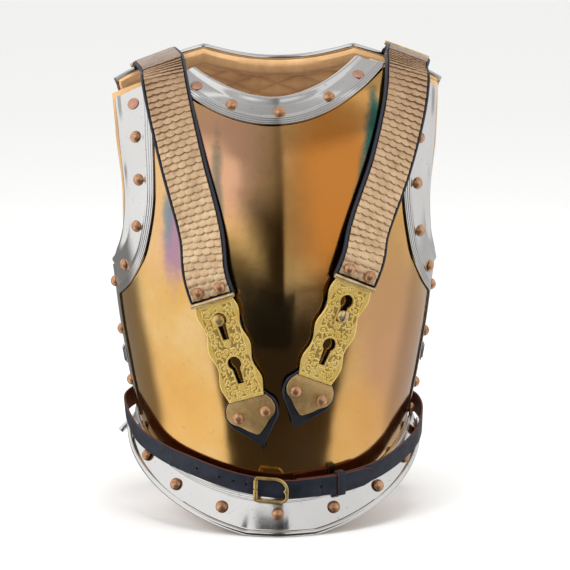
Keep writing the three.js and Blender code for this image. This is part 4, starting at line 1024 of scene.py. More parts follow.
big = dome("rivet_pattern", RIVET_RADIUS, RIVET_HEIGHT)
for node in sorted(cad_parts):
    if node.startswith(("neck_rivet", "arm_rivet", "flange_rivet")):
        centre, normal = rivet_frame(node, front)
        if node.startswith("flange"):
            # The flange leans out, so its rivets point down with it.
            angle = front.angle_at(centre[0], centre[2])
            near = [front_sheet(a, np.array([share]), 0.0)[0] for a, share in
                    ((angle - 0.01, 0.5), (angle + 0.01, 0.5), (angle, 0.45), (angle, 0.55))]
            normal = unit(np.cross(near[3] - near[2], near[1] - near[0]))
            if normal[1] > 0 and abs(normal[1]) > 0.2:
                normal = -normal
            if np.dot(normal, front.normal(angle, centre[2])) < 0:
                normal = -normal
        set_head(big, node + "_head", centre - normal * RIVET_HEIGHT * 0.5, normal, node)
remove(big)


# ---- Tracks: straps and belt ------------------------------------------------------------------------

class Track:
    """A strip's centre line on its underside, as a smooth curve through stations. Each station is a
    point and a normal. place(distances) gives origins and the directions ahead, across and up."""

    PER_SPAN = 160

    def __init__(self, stations):
        points = np.array([p for p, _ in stations])
        normals = np.array([n for _, n in stations])
        padded = np.concatenate([[2 * points[0] - points[1]], points, [2 * points[-1] - points[-2]]])
        samples, places = [], []
        for i in range(len(points) - 1):
            p = padded[i:i + 4]
            gaps = np.sqrt(np.linalg.norm(np.diff(p, axis=0), axis=1))
            start = (p[1] - p[0]) / gaps[0] - (p[2] - p[0]) / (gaps[0] + gaps[1]) + (p[2] - p[1]) / gaps[1]
            end = (p[2] - p[1]) / gaps[1] - (p[3] - p[1]) / (gaps[1] + gaps[2]) + (p[3] - p[2]) / gaps[2]
            start, end = start * gaps[1], end * gaps[1]
            t = np.arange(self.PER_SPAN)[:, None] / self.PER_SPAN
            samples.append(p[1] + start * t + (-3 * p[1] + 3 * p[2] - 2 * start - end) * t ** 2
                           + (2 * p[1] - 2 * p[2] + start + end) * t ** 3)
            places.append(i + t[:, 0])
        self.points = np.concatenate(samples + [points[-1:]])
        station = np.concatenate(places + [[len(points) - 1]])
        low = np.minimum(station.astype(int), len(points) - 2)
        self.normals = lerp(normals[low], normals[low + 1], (station - low)[:, None])
        steps = np.linalg.norm(np.diff(self.points, axis=0), axis=1)
        self.reach = np.concatenate([[0], np.cumsum(steps)])
        self.length = self.reach[-1]

    def column(self, values, at):
        return np.stack([np.interp(at, self.reach, values[:, k]) for k in range(3)], axis=-1)

    def place(self, at):
        at = np.atleast_1d(np.asarray(at, float))
        near = 0.4
        ahead = unit(self.column(self.points, np.minimum(at + near, self.length))
                     - self.column(self.points, np.maximum(at - near, 0)))
        up = self.column(self.normals, at)
        up = unit(up - ahead * np.sum(up * ahead, -1, keepdims=True))
        return self.column(self.points, at), ahead, np.cross(ahead, up), up

    def spot(self, at, across=0.0, height=0.0):
        origin, ahead, side, up = (v[0] for v in self.place(at))
        return origin + side * across + up * height, ahead, side, up

    def swept(self, at, sections):
        """Points of a strip: sections are its points [across, up] at each distance."""
        origin, _, side, up = self.place(at)
        sections = np.asarray(sections, float)
        if sections.ndim == 2:
            sections = np.broadcast_to(sections, (len(origin), *sections.shape))
        return (origin[:, None] + side[:, None] * sections[..., :1] + up[:, None] * sections[..., 1:2])


def on_plate(surface, x, z, lift):
    angle = surface.angle_at(x, z)
    return surface.at(angle, z, lift), surface.normal(angle, z)


def corner_path(half, low, high, bend, count):
    """Points round a box with rounded corners, each with its way out."""
    path = []
    for x, y, start in ((half - bend, low + bend, -90), (half - bend, high - bend, 0),
                        (-half + bend, high - bend, 90), (-half + bend, low + bend, 180)):
        for a in np.radians(np.linspace(start, start + 90, count)):
            out = (math.cos(a), math.sin(a))
            path.append(((x + bend * out[0], y + bend * out[1]), out))
    return path


def rounded_strip(half, low, high, bend=0.7, count=4):
    """Section of a flat strip with rounded edges."""
    bend = min(bend, (high - low) / 2 - 0.01)
    points = [point for point, _ in corner_path(half, low, high, bend, count)]
    return np.array(points + points[:1])


# ---- Shoulder straps --------------------------------------------------------------------------------

KEYHOLES = (20.5, 66.5)         # distances down from the bar to the round parts
KEYHOLE_RADIUS = 7.0
SLOT_HALF = 3.4
SLOT_LENGTH = 21.0
PLATE_END = 104.0               # lower edge of the keyhole plate
TIP_RIVETS = 121.0
SHOULDER_TILT = math.radians(20)
TIP_CLEARANCE = 1.2
STRAIGHT_RUN = 25.0
BAR_ROOM = 4.0
SCALE_HALF = STRAP_HALF - PIPING - 0.5
SCALE_LOW = LEATHER + 0.9
PLATE_LOW = LEATHER + 0.7
BAR_RADIUS = 2.4
STRAP_RIVET_HALF = 11.6         # how far a strap's rivets stand from its middle
TIP_RIVET_HALF = 14.8
STUD_REACH = 9.6                # from a stud's foot to the middle of its CAD node

# The bar and the tip are X and Z on the breastplate. Points of the chest and back have X, Z and the
# lift off their plate, and points of the shoulder X, Y and Z.
STRAPS = {
    "l": dict(
        side=-1, bar=(-64, 241), tip=(-16, 95),
        chest=[(-76, 303, 4.2), (-93.5, 370, 4.5), (-106, 421, 6), (-111, 443, 8.5)],
        shoulder=[(-114, -45, 461.5), (-118, -15, 464.5), (-120.5, 20, 464.5), (-122, 56, 462),
                  (-122, 88, 455)],
        back=[(-120, 428, 7), (-116, 394, 4.6), (-113, 372, 4)],
        back_bar=86, stud_down=KEYHOLES[0]),
    "r": dict(
        side=1, bar=(69, 257), tip=(10.5, 113),
        chest=[(84.5, 306, 4.2), (107, 366, 4.5), (124, 421, 6), (129.5, 446, 9)],
        shoulder=[(134, -39, 463.5), (138.5, -12, 467), (142, 20, 467), (143, 56, 464), (142, 88, 456)],
        back=[(139, 428, 7), (134, 394, 4.6), (130, 372, 4)],
        back_bar=60, stud_down=KEYHOLES[0] + 15),
}
# The straight end's leather and the tip plate: distance down from the bar and half width.
LEATHER_OUTLINE = [(-4, 23.5), (0, STRAP_HALF), (4, 19.5), (98, 18.5), (105, 22.5), (112, 27.5),
                   (119, 28.5), (127, 26.5), (136, 18.5), (146, 9), (155, 1.2)]
TIP_OUTLINE = [(105, 20.5), (111, 24.5), (117.5, 25.8), (124, 23.5), (130, 15.5), (136, 9), (142, 0.8)]


def strap_track(plan):
    bar_point, bar_normal = on_plate(front, *plan["bar"], 0)
    tip_point, tip_normal = on_plate(front, *plan["tip"], 0)
    up = unit(bar_point - tip_point)
    straight = np.linalg.norm(bar_point - tip_point)
    normal = bar_normal + tip_normal
    normal = unit(normal - up * normal.dot(up))
    across = np.cross(up, normal)
    # The straight end lies on the highest point of the breastplate under it.
    height = 0.0
    for down in np.linspace(0, straight, 21):
        for w in np.linspace(-STRAP_HALF, STRAP_HALF, 9):
            p = bar_point - up * down + across * w
            height = max(height, (on_plate(front, p[0], p[2], 0)[0] - p).dot(normal))
    start = tip_point + normal * (height + TIP_CLEARANCE)
    tilted = np.array([plan["side"] * math.sin(SHOULDER_TILT), 0, math.cos(SHOULDER_TILT)])
    stations = [(start + up * d, normal) for d in np.linspace(0, straight + STRAIGHT_RUN, 5)]
    stations += [on_plate(front, *spot) for spot in plan["chest"]]
    stations += [(np.array(spot, float), tilted) for spot in plan["shoulder"]]
    stations += [on_plate(back, *spot) for spot in plan["back"]]
    line = Track(stations)
    line.straight = straight
    line.back_bar = straight
    while line.spot(line.back_bar)[0][1] < plan["back_bar"]:
        line.back_bar += 1
    return line


def keyhole_cutter(line, down):
    """A keyhole-shaped bar through the plate and the leather: a round joined to a slot."""
    origin, ahead, side, up = line.spot(line.straight - down)
    cutter = blank("cylinder", vertices=48, radius=KEYHOLE_RADIUS * MM, depth=20 * MM)
    flat = points_of(cutter)
    # The lowest points of the round are drawn down into the slot.
    slot = (np.abs(flat[:, 0]) < (SLOT_HALF + 0.3) * MM) & (flat[:, 1] < 0)
    flat[slot, 0] = np.clip(flat[slot, 0] * 1.05, -SLOT_HALF * MM, SLOT_HALF * MM)
    flat[slot, 1] = -SLOT_LENGTH * MM
    set_points(cutter, flat)
    matrix = Matrix((side, ahead, up)).transposed().to_4x4()
    matrix.translation = Vector(in_place(origin))
    cutter.data.transform(matrix)
    return cutter


def cut_keyholes(piece, line):
    for down in KEYHOLES:
        cut(piece, keyhole_cutter(line, down))


def strap_section(half, edge):
    """Section of a strap: a channel whose raised edges are rounded."""
    wall = half * PIPING / STRAP_HALF
    corner = min(0.4, half * 0.3)
    bend = wall / 2
    right = [(half - corner, 0), (half, 0.5), (half, max(edge - bend, 0.9))]
    right += [(half - bend + bend * math.cos(a), edge - bend + bend * math.sin(a))
              for a in np.radians(np.linspace(20, 160, 7))]
    right += [(half - wall, max(edge - bend, LEATHER)), (half - wall - corner * 0.7, LEATHER)]
    left = [(-x, y) for x, y in reversed(right)]
    mid = 0.3 * half
    return np.array(right + [(mid, LEATHER), (-mid, LEATHER)] + left + [(-mid, 0), (mid, 0)] + right[:1])


def make_strap_leather(key, line):
    half_at = curve_of([(-d, h) for d, h in reversed(LEATHER_OUTLINE)], 1)
    at = np.concatenate([np.linspace(line.straight - 155, line.straight - 90, 60),
                         np.linspace(line.straight - 88, line.straight + 12, 60),
                         np.arange(line.straight + 14, line.length, 2.2), [line.length]])
    above = at - line.straight
    half = np.where(above < 0, half_at(above), STRAP_HALF)
    behind = smoothstep(at, line.back_bar - 5, line.back_bar - 3.5)
    rise = smoothstep(above, BAR_ROOM - 1.5, BAR_ROOM) * (1 - behind)
    low_edge = LEATHER + 0.12
    sections = [strap_section(h, lerp(low_edge, 4.5, r)) for h, r in zip(half, rise)]
    # The note names the edges: 1 at the strap's two edges, 0 between them. There the strap's finish paints
    # a highlight.
    note = np.array([smoothstep(np.abs(sec[:, 0]) / h, 0.86, 0.98) * (sec[:, 1] > LEATHER * 0.8)
                     for sec, h in zip(sections, half)])
    piece = laid_grid(f"black_strap_{key}", line.swept(at, sections), wrap=True, notes={"edge": note})
    cut_keyholes(piece, line)
    return finished(piece, STRAP_HIDE, "strap_hide", f"strap_leather_{key}", angle=50)


SCALE_WIDE = 9.6
SCALE_LONG = 10.5


def scale_pattern():
    """One scale round the origin: a broad tongue whose free end, towards -Y, is a shallow arc."""
    piece = blank("circle", vertices=20, radius=SCALE_WIDE / 2, fill_type="NGON")
    flat = points_of(piece)
    low = flat[:, 1] <= 0.01
    flat[:, 1] = np.where(low, flat[:, 1] * 0.62, SCALE_LONG - SCALE_WIDE / 2)
    flat[low, 0] = np.sign(flat[low, 0]) * (SCALE_WIDE / 2) * np.abs(flat[low, 0] / (SCALE_WIDE / 2)) ** 0.9
    set_points(piece, flat)
    edit(piece)
    bpy.ops.mesh.extrude_region_move(TRANSFORM_OT_translate={"value": (0, 0, 0.6)})
    bpy.ops.mesh.inset(thickness=0.45, depth=0.22)
    bpy.ops.mesh.select_all(action="SELECT")
    bpy.ops.mesh.normals_make_consistent(inside=False)
    done()
    return piece


def make_scales(key, line, start, end):
    """Rows of overlapping scales along a strap, each row set half a scale aside."""
    draw = random.Random(7 if key == "l" else 8)
    pattern = scale_pattern()
    base = points_of(pattern)
    faces = [list(p.vertices) for p in pattern.data.polygons]
    points, polygons = [], []
    rows = int((end - start) / SCALE_PITCH)
    for row in range(rows):
        at = start + row * SCALE_PITCH
        spread = [-18, -9, 0, 9, 18] if row % 2 else [-13.5, -4.5, 4.5, 13.5]
        if row % 2 == 0:
            spread = [-19.6] + spread + [19.6]
        for w in spread:
            origin, ahead, side, up = line.spot(at + SCALE_LONG * 0.32 + draw.uniform(-0.25, 0.25),
                                                w + draw.uniform(-0.15, 0.15))
            lean = math.radians(10.5 + draw.uniform(-1.0, 1.0))
            tilt_ahead = ahead * math.cos(lean) - up * math.sin(lean)
            tilt_up = up * math.cos(lean) + ahead * math.sin(lean)
            local = base.copy()
            local[:, 0] = np.clip(local[:, 0] + w, -SCALE_HALF - 0.1, SCALE_HALF + 0.1) - w
            height = SCALE_LOW + 0.9
            place = (origin + up * height + local[:, :1] * side + local[:, 1:2] * tilt_ahead
                     + local[:, 2:3] * tilt_up)
            polygons += [[i + len(points) * len(base) for i in face] for face in faces]
            points.append(place)
    remove(pattern)
    mesh = bpy.data.meshes.new(f"scales_{key}")
    mesh.from_pydata(in_place(np.concatenate(points)).tolist(), [], polygons)
    piece = bpy.data.objects.new(f"brass_scales_{key}", mesh)
    bpy.context.collection.objects.link(piece)
    finished(piece, SCALES, "scale_brass", f"strap_scales_{key}", angle=55)
    bed_at = np.arange(line.straight + 4.2, end + 5, 3.0)
    strip = rounded_strip(SCALE_HALF, LEATHER + 0.1, SCALE_LOW + 0.5)
    bed = laid_grid(f"scale_bed_{key}", line.swept(bed_at, strip), wrap=True)
    finished(bed, SCALES, "scale_brass")


def make_crest(key, line, start, end):
    """The plain brass patch over the top of the shoulder, with a row of small nails."""
    at = np.arange(start, end, 2.0)
    strip = rounded_strip(SCALE_HALF + 0.8, SCALE_LOW + 0.6, SCALE_LOW + 1.9, 0.5)
    patch = laid_grid(f"crest_patch_{key}", line.swept(at, strip), wrap=True)
    finished(patch, CREST_BRASS, "scale_brass")
    nail = dome("nail_pattern", 1.2, 0.9)
    for i, w in enumerate((-14.5, -4.8, 4.8, 14.5)):
        spot, _, _, up = line.spot(start + 3.4, w, SCALE_LOW + 1.8)
        set_head(nail, f"crest_nail_{key}_{i + 1}", spot, up, finish=BAR_BRASS, slot="scale_brass")
    remove(nail)


def make_bar(name, line, at, height, half, finish, slot):
    """A round bar across a strap, with rounded ends."""
    spot, _, side, _ = line.spot(at, 0, height)
    piece = blank("cylinder", name, vertices=28, radius=BAR_RADIUS * MM, depth=2 * half * MM)
    rounded(piece, 0.8)
    stand(piece, spot, side)
    return finished(piece, finish, slot, angle=50)


def keyhole_away(w, down, centre):
    """Distance outside a keyhole's edge, in millimetres: negative inside it."""
    round_part = np.hypot(w, down - centre) - KEYHOLE_RADIUS
    slot_part = np.maximum(np.abs(w) - SLOT_HALF, np.maximum(centre - down, down - centre - SLOT_LENGTH))
    return np.minimum(round_part, slot_part)


def plate_half(down):
    """Half width of a keyhole plate: three lobes along each side."""
    return 20.4 + 1.9 * np.cos(2 * np.pi * (down - 13) / 37)


SCROLL_TURNS = 1.35


def spiral(x, y, size, turn, way):
    """A scroll that winds in to its eye from a start, as points across and down the plate."""
    t = np.linspace(0, 1, 46)
    radius = size * (1 - t) ** 0.85 + 0.15
    angle = turn + way * 2 * np.pi * SCROLL_TURNS * t
    return np.stack([x + radius * np.cos(angle), y + radius * np.sin(angle)], axis=-1)


def leaf(x, y, turn, size):
    """A small curved leaf, as points across and down the plate."""
    t = np.linspace(0, 1, 12)
    bend = 0.5 * size * t * t
    return np.stack([x + size * t * math.cos(turn) - bend * math.sin(turn),
                     y + size * t * math.sin(turn) + bend * math.cos(turn)], axis=-1)


def scrollwork():
    """Leaf scrolls down both sides of a keyhole plate and between its keyholes."""
    lines = []
    for side in (-1, 1):
        for i, down in enumerate((13, 27, 41, 55, 69, 83, 95)):
            way = side if i % 2 else -side
            lines.append(spiral(side * (11.9 + 0.8 * (i % 2)), down, 4.3, math.pi * (0.5 + i % 2), way))
            for turn in (0.3, 1.4, 2.5, 3.7, 5.0):
                x = side * (11.9 + 0.6 * (i % 2)) + 4.2 * math.cos(turn)
                lines.append(leaf(x, down + 4.2 * math.sin(turn), turn + 0.8 * way, 3.2))
        brow = 8.5 + 2 * np.sin(np.linspace(0, 3.1, 30))
        lines.append(np.stack([side * np.linspace(3, 13, 30), brow], -1))
    draw = random.Random(4)
    for _ in range(120):
        lines.append(leaf(draw.uniform(-16, 16), draw.uniform(8, 100), draw.uniform(0, 6.28),
                          draw.uniform(1.4, 2.6)))
    for down in (9.6, 54.0, 98.0):
        for side in (-1, 1):
            lines.append(spiral(side * 4.2, down, 3.0, math.pi * (1 if side > 0 else 0), side))
            lines.append(leaf(side * 2.0, down, math.pi * (0.5 - 0.2 * side), 4.0))
    return np.concatenate(lines)


def chasing(w, down):
    """Height of the chased relief over a keyhole plate, and how much each place is hollow."""
    scroll = scrollwork()
    flat = np.stack([w.ravel(), down.ravel()], axis=-1)
    near = np.empty(len(flat))
    for i in range(0, len(flat), 4000):
        part = flat[i:i + 4000, None] - scroll[None]
        near[i:i + 4000] = np.sqrt((part ** 2).sum(-1).min(1))
    near = near.reshape(w.shape)
    draw = np.random.default_rng(21)
    stipple = draw.random(w.shape)
    relief = 1 - smoothstep(near, 0.45, 1.25)
    ground = 0.16 * stipple
    height = np.maximum(relief * 0.62, ground)
    hollow = (1 - relief) * (0.45 + 0.55 * stipple)
    edge = plate_half(down) - np.abs(w)
    field = 17.1 - 0.5 * np.cos(2 * np.pi * (down - 13) / 37)
    rim = smoothstep(np.abs(w), field - 0.5, field + 0.1)
    holes = np.minimum(*(keyhole_away(w, down, centre) for centre in KEYHOLES))
    rim = np.maximum(rim, 1 - smoothstep(holes, 1.5, 2.1))
    pads = np.minimum(*(np.hypot(w, (down - centre - SLOT_LENGTH - 4) * 0.8) for centre in KEYHOLES))
    rim = np.maximum(rim, 1 - smoothstep(pads, 3.4, 4.0))
    rim = np.maximum(rim, 1 - smoothstep(down, 6.0, 7.0))
    rim = np.maximum(rim, smoothstep(down, PLATE_END - 3.6, PLATE_END - 3.0))
    height = lerp(height, 0.55, rim)
    trench = np.minimum(np.abs(np.abs(w) - field + 0.3), np.abs(holes - 2.0))
    height -= 0.25 * (1 - smoothstep(trench, 0.0, 0.5))
    height *= smoothstep(edge, -0.1, 0.8)
    return height, hollow * (1 - rim)


def make_keyhole_plate(key, line):
    down = np.linspace(PLATE_END, 0.6, 241)[:, None]
    share = np.linspace(1, -1, 101)[None, :]
    w = share * plate_half(down)
    w, down = np.broadcast_arrays(w, down)
    height, hollow = chasing(w, down)
    top = np.stack([w, PLATE_LOW + METAL - 0.35 + height], axis=-1)
    half = plate_half(down[:, :1])
    under = np.stack([np.concatenate([-half, half, half], 1),
                      np.broadcast_to([PLATE_LOW, PLATE_LOW, PLATE_LOW + METAL - 0.4], (len(down), 3))], -1)
    sections = np.concatenate([top, under], axis=1)
    notes = np.concatenate([hollow, np.zeros((len(down), 3))], axis=1)
    piece = laid_grid(f"chased_plate_{key}", line.swept(line.straight - down[:, 0], sections), wrap=True,
                      notes={"hollow": notes})
    cut_keyholes(piece, line)
    make_bar(f"strap_bar_{key}", line, line.straight, PLATE_LOW + 2.35, STRAP_HALF, BAR_BRASS,
             "gilt_brass")
    return finished(piece, GILT, "gilt_brass", f"keyhole_plate_{key}", angle=50)


def make_tip_plate(key, line):
    half_at = curve_of(TIP_OUTLINE, 1)
    down = np.concatenate([[104.6], np.linspace(105, 141.4, 60)])
    sections = [rounded_strip(max(float(half_at(d)), 0.9), PLATE_LOW, PLATE_LOW + METAL, 0.55)
                for d in down]
    piece = laid_grid(f"plain_tip_{key}", line.swept(line.straight - down[::-1], sections[::-1]), wrap=True)
    return finished(piece, TIP_BRASS, "scale_brass", f"tip_plate_{key}", angle=50)


def make_back_plate(key, line):
    """The brass plate that fastens a strap to the backplate, with its bar and two rivets."""
    low = LEATHER + 3
    at = np.linspace(line.back_bar - 3, line.length, 60)
    strip = rounded_strip(SCALE_HALF - 0.4, low, low + METAL)
    piece = laid_grid(f"strap_end_plate_{key}", line.swept(at, strip), wrap=True)
    finished(piece, CREST_BRASS, "scale_brass", f"strap_back_plate_{key}", angle=50)
    make_bar(f"shoulder_bar_{key}", line, line.back_bar, low + 1.4, STRAP_HALF + 1.5, BAR_BRASS,
             "scale_brass")
    head = dome("end_rivet", SMALL_RIVET_RADIUS, SMALL_RIVET_HEIGHT)
    for i, w in enumerate((-STRAP_RIVET_HALF, STRAP_RIVET_HALF)):
        spot, _, _, up = line.spot(line.length - 14, w, low + METAL - 0.1)
        set_head(head, f"strap_end_rivet_{key}_{i + 1}", spot, up)
    remove(head)


def make_stud(key, line, down):
    """A round-headed stud through a keyhole. The right one has a driver slot across its head."""
    low, high = (own(corner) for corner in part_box(f"strap_stud_{key}"))
    _, _, side, up = line.spot(line.straight - down)
    centre = (low + high) / 2
    foot = centre - up * STUD_REACH
    shank = blank("cylinder", f"stud_{key}", vertices=24, radius=2.4 * MM, depth=10.4 * MM,
                  location=(0, 0, 5.2 * MM))
    shank.data.transform(Matrix.Translation(shank.location))
    shank.location = (0, 0, 0)
    ball = blank("uv_sphere", segments=40, ring_count=24, radius=6.2 * MM)
    edit(ball)
    bpy.ops.mesh.bisect(plane_co=(0, 0, -1.6 * MM), plane_no=(0, 0, 1), use_fill=True, clear_inner=True)
    bpy.ops.mesh.select_all(action="SELECT")
    bpy.ops.transform.resize(value=(1, 1, 0.6))
    bpy.ops.transform.translate(value=(0, 0, 11.0 * MM))
    done()
    rounded(ball, 0.4, 2, 60)
    if key == "r":
        blade = blank("cube", size=1)
        blade.data.transform(Matrix.Diagonal((1.1 * MM, 16 * MM, 2.6 * MM, 1)))
        blade.data.transform(Matrix.Translation((0, 0, 14.4 * MM)))
        cut(ball, blade)
    choose(shank)
    ball.select_set(True)
    bpy.ops.object.join()
    stand(shank, foot, up, lean=side)
    finished(shank, BAR_BRASS if key == "r" else BUCKLE_BRASS, "gilt_brass", f"strap_stud_{key}", angle=40)


# Where the scales end and the plain patch over the shoulder begins, before the bar at the back.
CREST_RUN = {"l": 138.0, "r": 84.0}

small = dome("small_rivet_pattern", SMALL_RIVET_RADIUS, SMALL_RIVET_HEIGHT)
for key, plan in STRAPS.items():
    line = strap_track(plan)
    make_strap_leather(key, line)
    crest = line.back_bar - CREST_RUN[key]
    make_scales(key, line, line.straight + 3.5, crest)
    make_crest(key, line, crest - 1.5, line.back_bar - 2.6)
    make_keyhole_plate(key, line)
    make_tip_plate(key, line)
    make_back_plate(key, line)
    make_stud(key, line, plan["stud_down"])
    for kind, down, half, seat in (("scale", -11.0, STRAP_RIVET_HALF, SCALE_LOW + 2.7),
                                   ("tip", TIP_RIVETS, TIP_RIVET_HALF, PLATE_LOW + METAL - 0.1)):
        for i, w in enumerate((-half, half)):
            spot, _, _, up = line.spot(line.straight - down, w, seat)
            set_head(small, f"{kind}_rivet_head_{key}_{i + 1}", spot, up, f"{kind}_rivet_{key}_{i + 1}")
remove(small)


# ---- Belt -------------------------------------------------------------------------------------------

# Places along the belt's halves: the plate, the angle round it in degrees, the height and the lift.
TAIL_HALF = [
    (back, -70, 112, 1), (back, -80, 111, 6), (front, -88, 107, 11), (front, -78, 98, 12.5),
    (front, -66, 85, 11.5), (front, -50, 73, 7), (front, -36, 65, 5.2), (front, -22, 56.5, 5.2),
    (front, -10, 51, 5.4), (front, 2, 48.5, 7.5), (front, 12, 49.5, 9.6), (front, 24, 51.5, 11),
    (front, 38, 56, 12.4),
]
BUCKLE_HALF = [
    (back, 70, 106, 1), (back, 80, 105, 4), (front, 88, 102, 8), (front, 78, 95, 14),
    (front, 66, 82.5, 16.5), (front, 54, 69.5, 13), (front, 40, 58, 9.6), (front, 24, 51.5, 8),
    (front, 12, 49.5, 6.6), (front, 6, 48.5, 5),
]
TAIL_HOLES = (-82, -60, -46.5, -34, 40)     # X of the punched holes
TAIL_CREASES = ((40, 0.45), (-34, 0.2), (62, 0.3), (-110, 0.3))
BUCKLE = dict(angle=-3.2, z=49.2, width=35, height=27.5, wire=1.65, lift=12.2)


def belt_track(rows):
    return Track([(surface.at(math.radians(angle), z, lift), surface.normal(math.radians(angle), z))
                  for surface, angle, z, lift in rows])


def reach_at(line, x):
    """Distance along a belt half to where it passes an X."""
    reach = np.linspace(line.length * 0.2, line.length, 900)
    return reach[np.argmin(np.abs(line.place(reach)[0][:, 0] - x))]


def make_belt(name, line, taper, taper_end, creases, holes, node):
    at = np.unique(np.concatenate([np.arange(0, line.length - taper, 2.5),
                                   line.length - taper * np.linspace(1, 0, 26) ** 1.5,
                                   *[reach_at(line, x) + np.arange(-3, 3.1, 0.5) for x, _ in creases]]))
    left = np.clip((line.length - at) / taper, 0, 1)
    half = BELT_WIDTH / 2 * lerp(taper_end, 1, np.sqrt(left))
    press = sum((depth * np.exp(-((at - reach_at(line, x)) / 1.1) ** 2) for x, depth in creases), 0 * at)
    sections = []
    for i, h in enumerate(half):
        section = rounded_strip(h, 0, BELT, 0.8, 5)
        section[:, 1] -= press[i] * (section[:, 1] > BELT / 2)
        section[:, 1] += 0.5 * math.sin(at[i] / 23) * (section[:, 0] / 10) * 0.5
        sections.append(section)
    sections = np.array(sections)
    near_edge = smoothstep(np.abs(sections[..., 0]) / half[:, None], 0.91, 0.985)
    inside = (sections[..., 1] < BELT * 0.4).astype(float)
    piece = laid_grid(name, line.swept(at, sections), wrap=True,
                      notes={"edge": np.maximum(near_edge, inside)})
    for x in holes:
        spot, _, _, up = line.spot(reach_at(line, x))
        punch = blank("cylinder", vertices=16, radius=1.25 * MM, depth=8 * MM)
        stand(punch, spot, up)
        cut(piece, punch)
    return finished(piece, BELT_HIDE, "belt_hide", node, angle=50)


def swept_wire(name, centres, inward, up, radius, thicker, count=16):
    """A round wire along points of a flat shape, thicker by a given amount towards its inner side."""
    turns = np.linspace(0, 2 * math.pi, count + 1)
    rings = []
    for i, centre in enumerate(centres):
        extra = thicker[i]
        rings.append([centre + inward[i] * (extra / 2 + (radius + extra / 2) * math.cos(t))
                      + up * radius * math.sin(t) for t in turns])
    return laid_grid(name, np.array(rings), wrap=True)


def make_buckle():
    """A D-shaped wire frame with a cusp inside its bow, and two short tubes on its straight bar."""
    angle, z = math.radians(BUCKLE["angle"]), BUCKLE["z"]
    spot = front.at(angle, z, BUCKLE["lift"])
    up = front.normal(angle, z)
    along = unit(np.cross([0, 0, 1.0], up))
    rise = np.cross(up, along)
    lean = math.radians(2.5)
    c, s = math.cos(lean), math.sin(lean)
    along, rise = along * c - rise * s, rise * c + along * s
    wire = BUCKLE["wire"]
    w, h = BUCKLE["width"] / 2 - wire, BUCKLE["height"] / 2 - wire
    low_bend, high_bend = h * 0.48, h * 0.95
    flat = [(-w + 0.6, -h)] + [(x, -h) for x in np.linspace(-w + 3, w - low_bend, 9)]
    flat += [(w - low_bend + low_bend * math.sin(t), -h + low_bend - low_bend * math.cos(t))
             for t in np.radians(np.arange(10, 91, 8))]
    flat += [(w, y) for y in np.linspace(-h + low_bend + 0.8, h - high_bend, 14)[:-1]]
    flat += [(w - high_bend * 1.1 * (1 - math.cos(t)), h - high_bend * (1 - math.sin(t)))
             for t in np.radians(np.arange(0, 91, 5))]
    flat += [(x, h) for x in np.linspace(w - high_bend * 1.1 - 1, -w + 0.6, 7)]
    flat = np.array(flat)
    heading = unit(np.gradient(flat, axis=0))
    inward = np.stack([-heading[:, 1], heading[:, 0]], axis=-1)
    cusp = 2.3 * np.clip(1 - np.abs(flat[:, 1] + 0.6) / 4.2, 0, 1) ** 1.5 * (flat[:, 0] > w - 2)
    place = lambda p: np.outer(p[:, 0], along) + np.outer(p[:, 1], rise)
    piece = swept_wire("buckle_wire", spot + place(flat), place(inward), up, wire, cusp)
    finished(piece, BUCKLE_BRASS, "scale_brass", "buckle_frame", angle=60)
    for i, (low, high) in enumerate(((-h - 0.4, -0.5), (0.5, h - 2.6))):
        tube = blank("cylinder", f"buckle_tube_{i + 1}", vertices=24, radius=2.35 * MM,
                     depth=(high - low) * MM)
        rounded(tube, 0.5)
        stand(tube, spot - along * w + rise * (low + high) / 2, rise)
        finished(tube, BUCKLE_BRASS, "scale_brass", angle=50)
    pin = blank("cylinder", "buckle_pin", vertices=16, radius=1.3 * MM, depth=2 * h * MM)
    stand(pin, spot - along * w, rise)
    finished(pin, BUCKLE_BRASS, "scale_brass", angle=50)


def make_keeper(line, at):
    """A loop of leather round both layers of the belt."""
    origin, ahead, side, up = line.spot(at + 4)
    path = corner_path(BELT_WIDTH / 2 + 1.2, -4.4, BELT + 1.0, 1.2, 6)
    path.append(path[0])
    strip = rounded_strip(4.2, 0, 1.4, 0.6)
    rings = []
    for (x, y), (nx, ny) in path:
        centre = origin + side * x + up * y
        way = side * nx + up * ny
        rings.append([centre + ahead * a + way * b for a, b in strip])
    note = np.broadcast_to(smoothstep(np.abs(strip[:, 0]), 3.7, 4.1), (len(rings), len(strip)))
    piece = laid_grid("belt_loop", np.array(rings), wrap=True, notes={"edge": note})
    finished(piece, BELT_HIDE, "belt_hide", "belt_keeper", angle=50)


tail_line = belt_track(TAIL_HALF)
buckle_line = belt_track(BUCKLE_HALF)
make_belt("belt_tail", tail_line, 12, 0.5, TAIL_CREASES, TAIL_HOLES, "belt_tail_half")
make_belt("belt_under", buckle_line, 1, 0.97, ((60, 0.2),), (), "belt_buckle_half")
make_buckle()
make_keeper(tail_line, tail_line.length - 44)


# ---- Small steel and copper fittings ----------------------------------------------------------------

def band_spot(band, t, across):
    """Angle and height of a place on a border: a share along it, and a share in from its rim."""
    (rim_angle, rim_z), (inner_angle, inner_z), _ = band
    share = np.linspace(0, 1, len(rim_angle))
    angle = np.interp(t, share, lerp(rim_angle, inner_angle, across))
    return angle, np.interp(t, share, lerp(rim_z, inner_z, across))


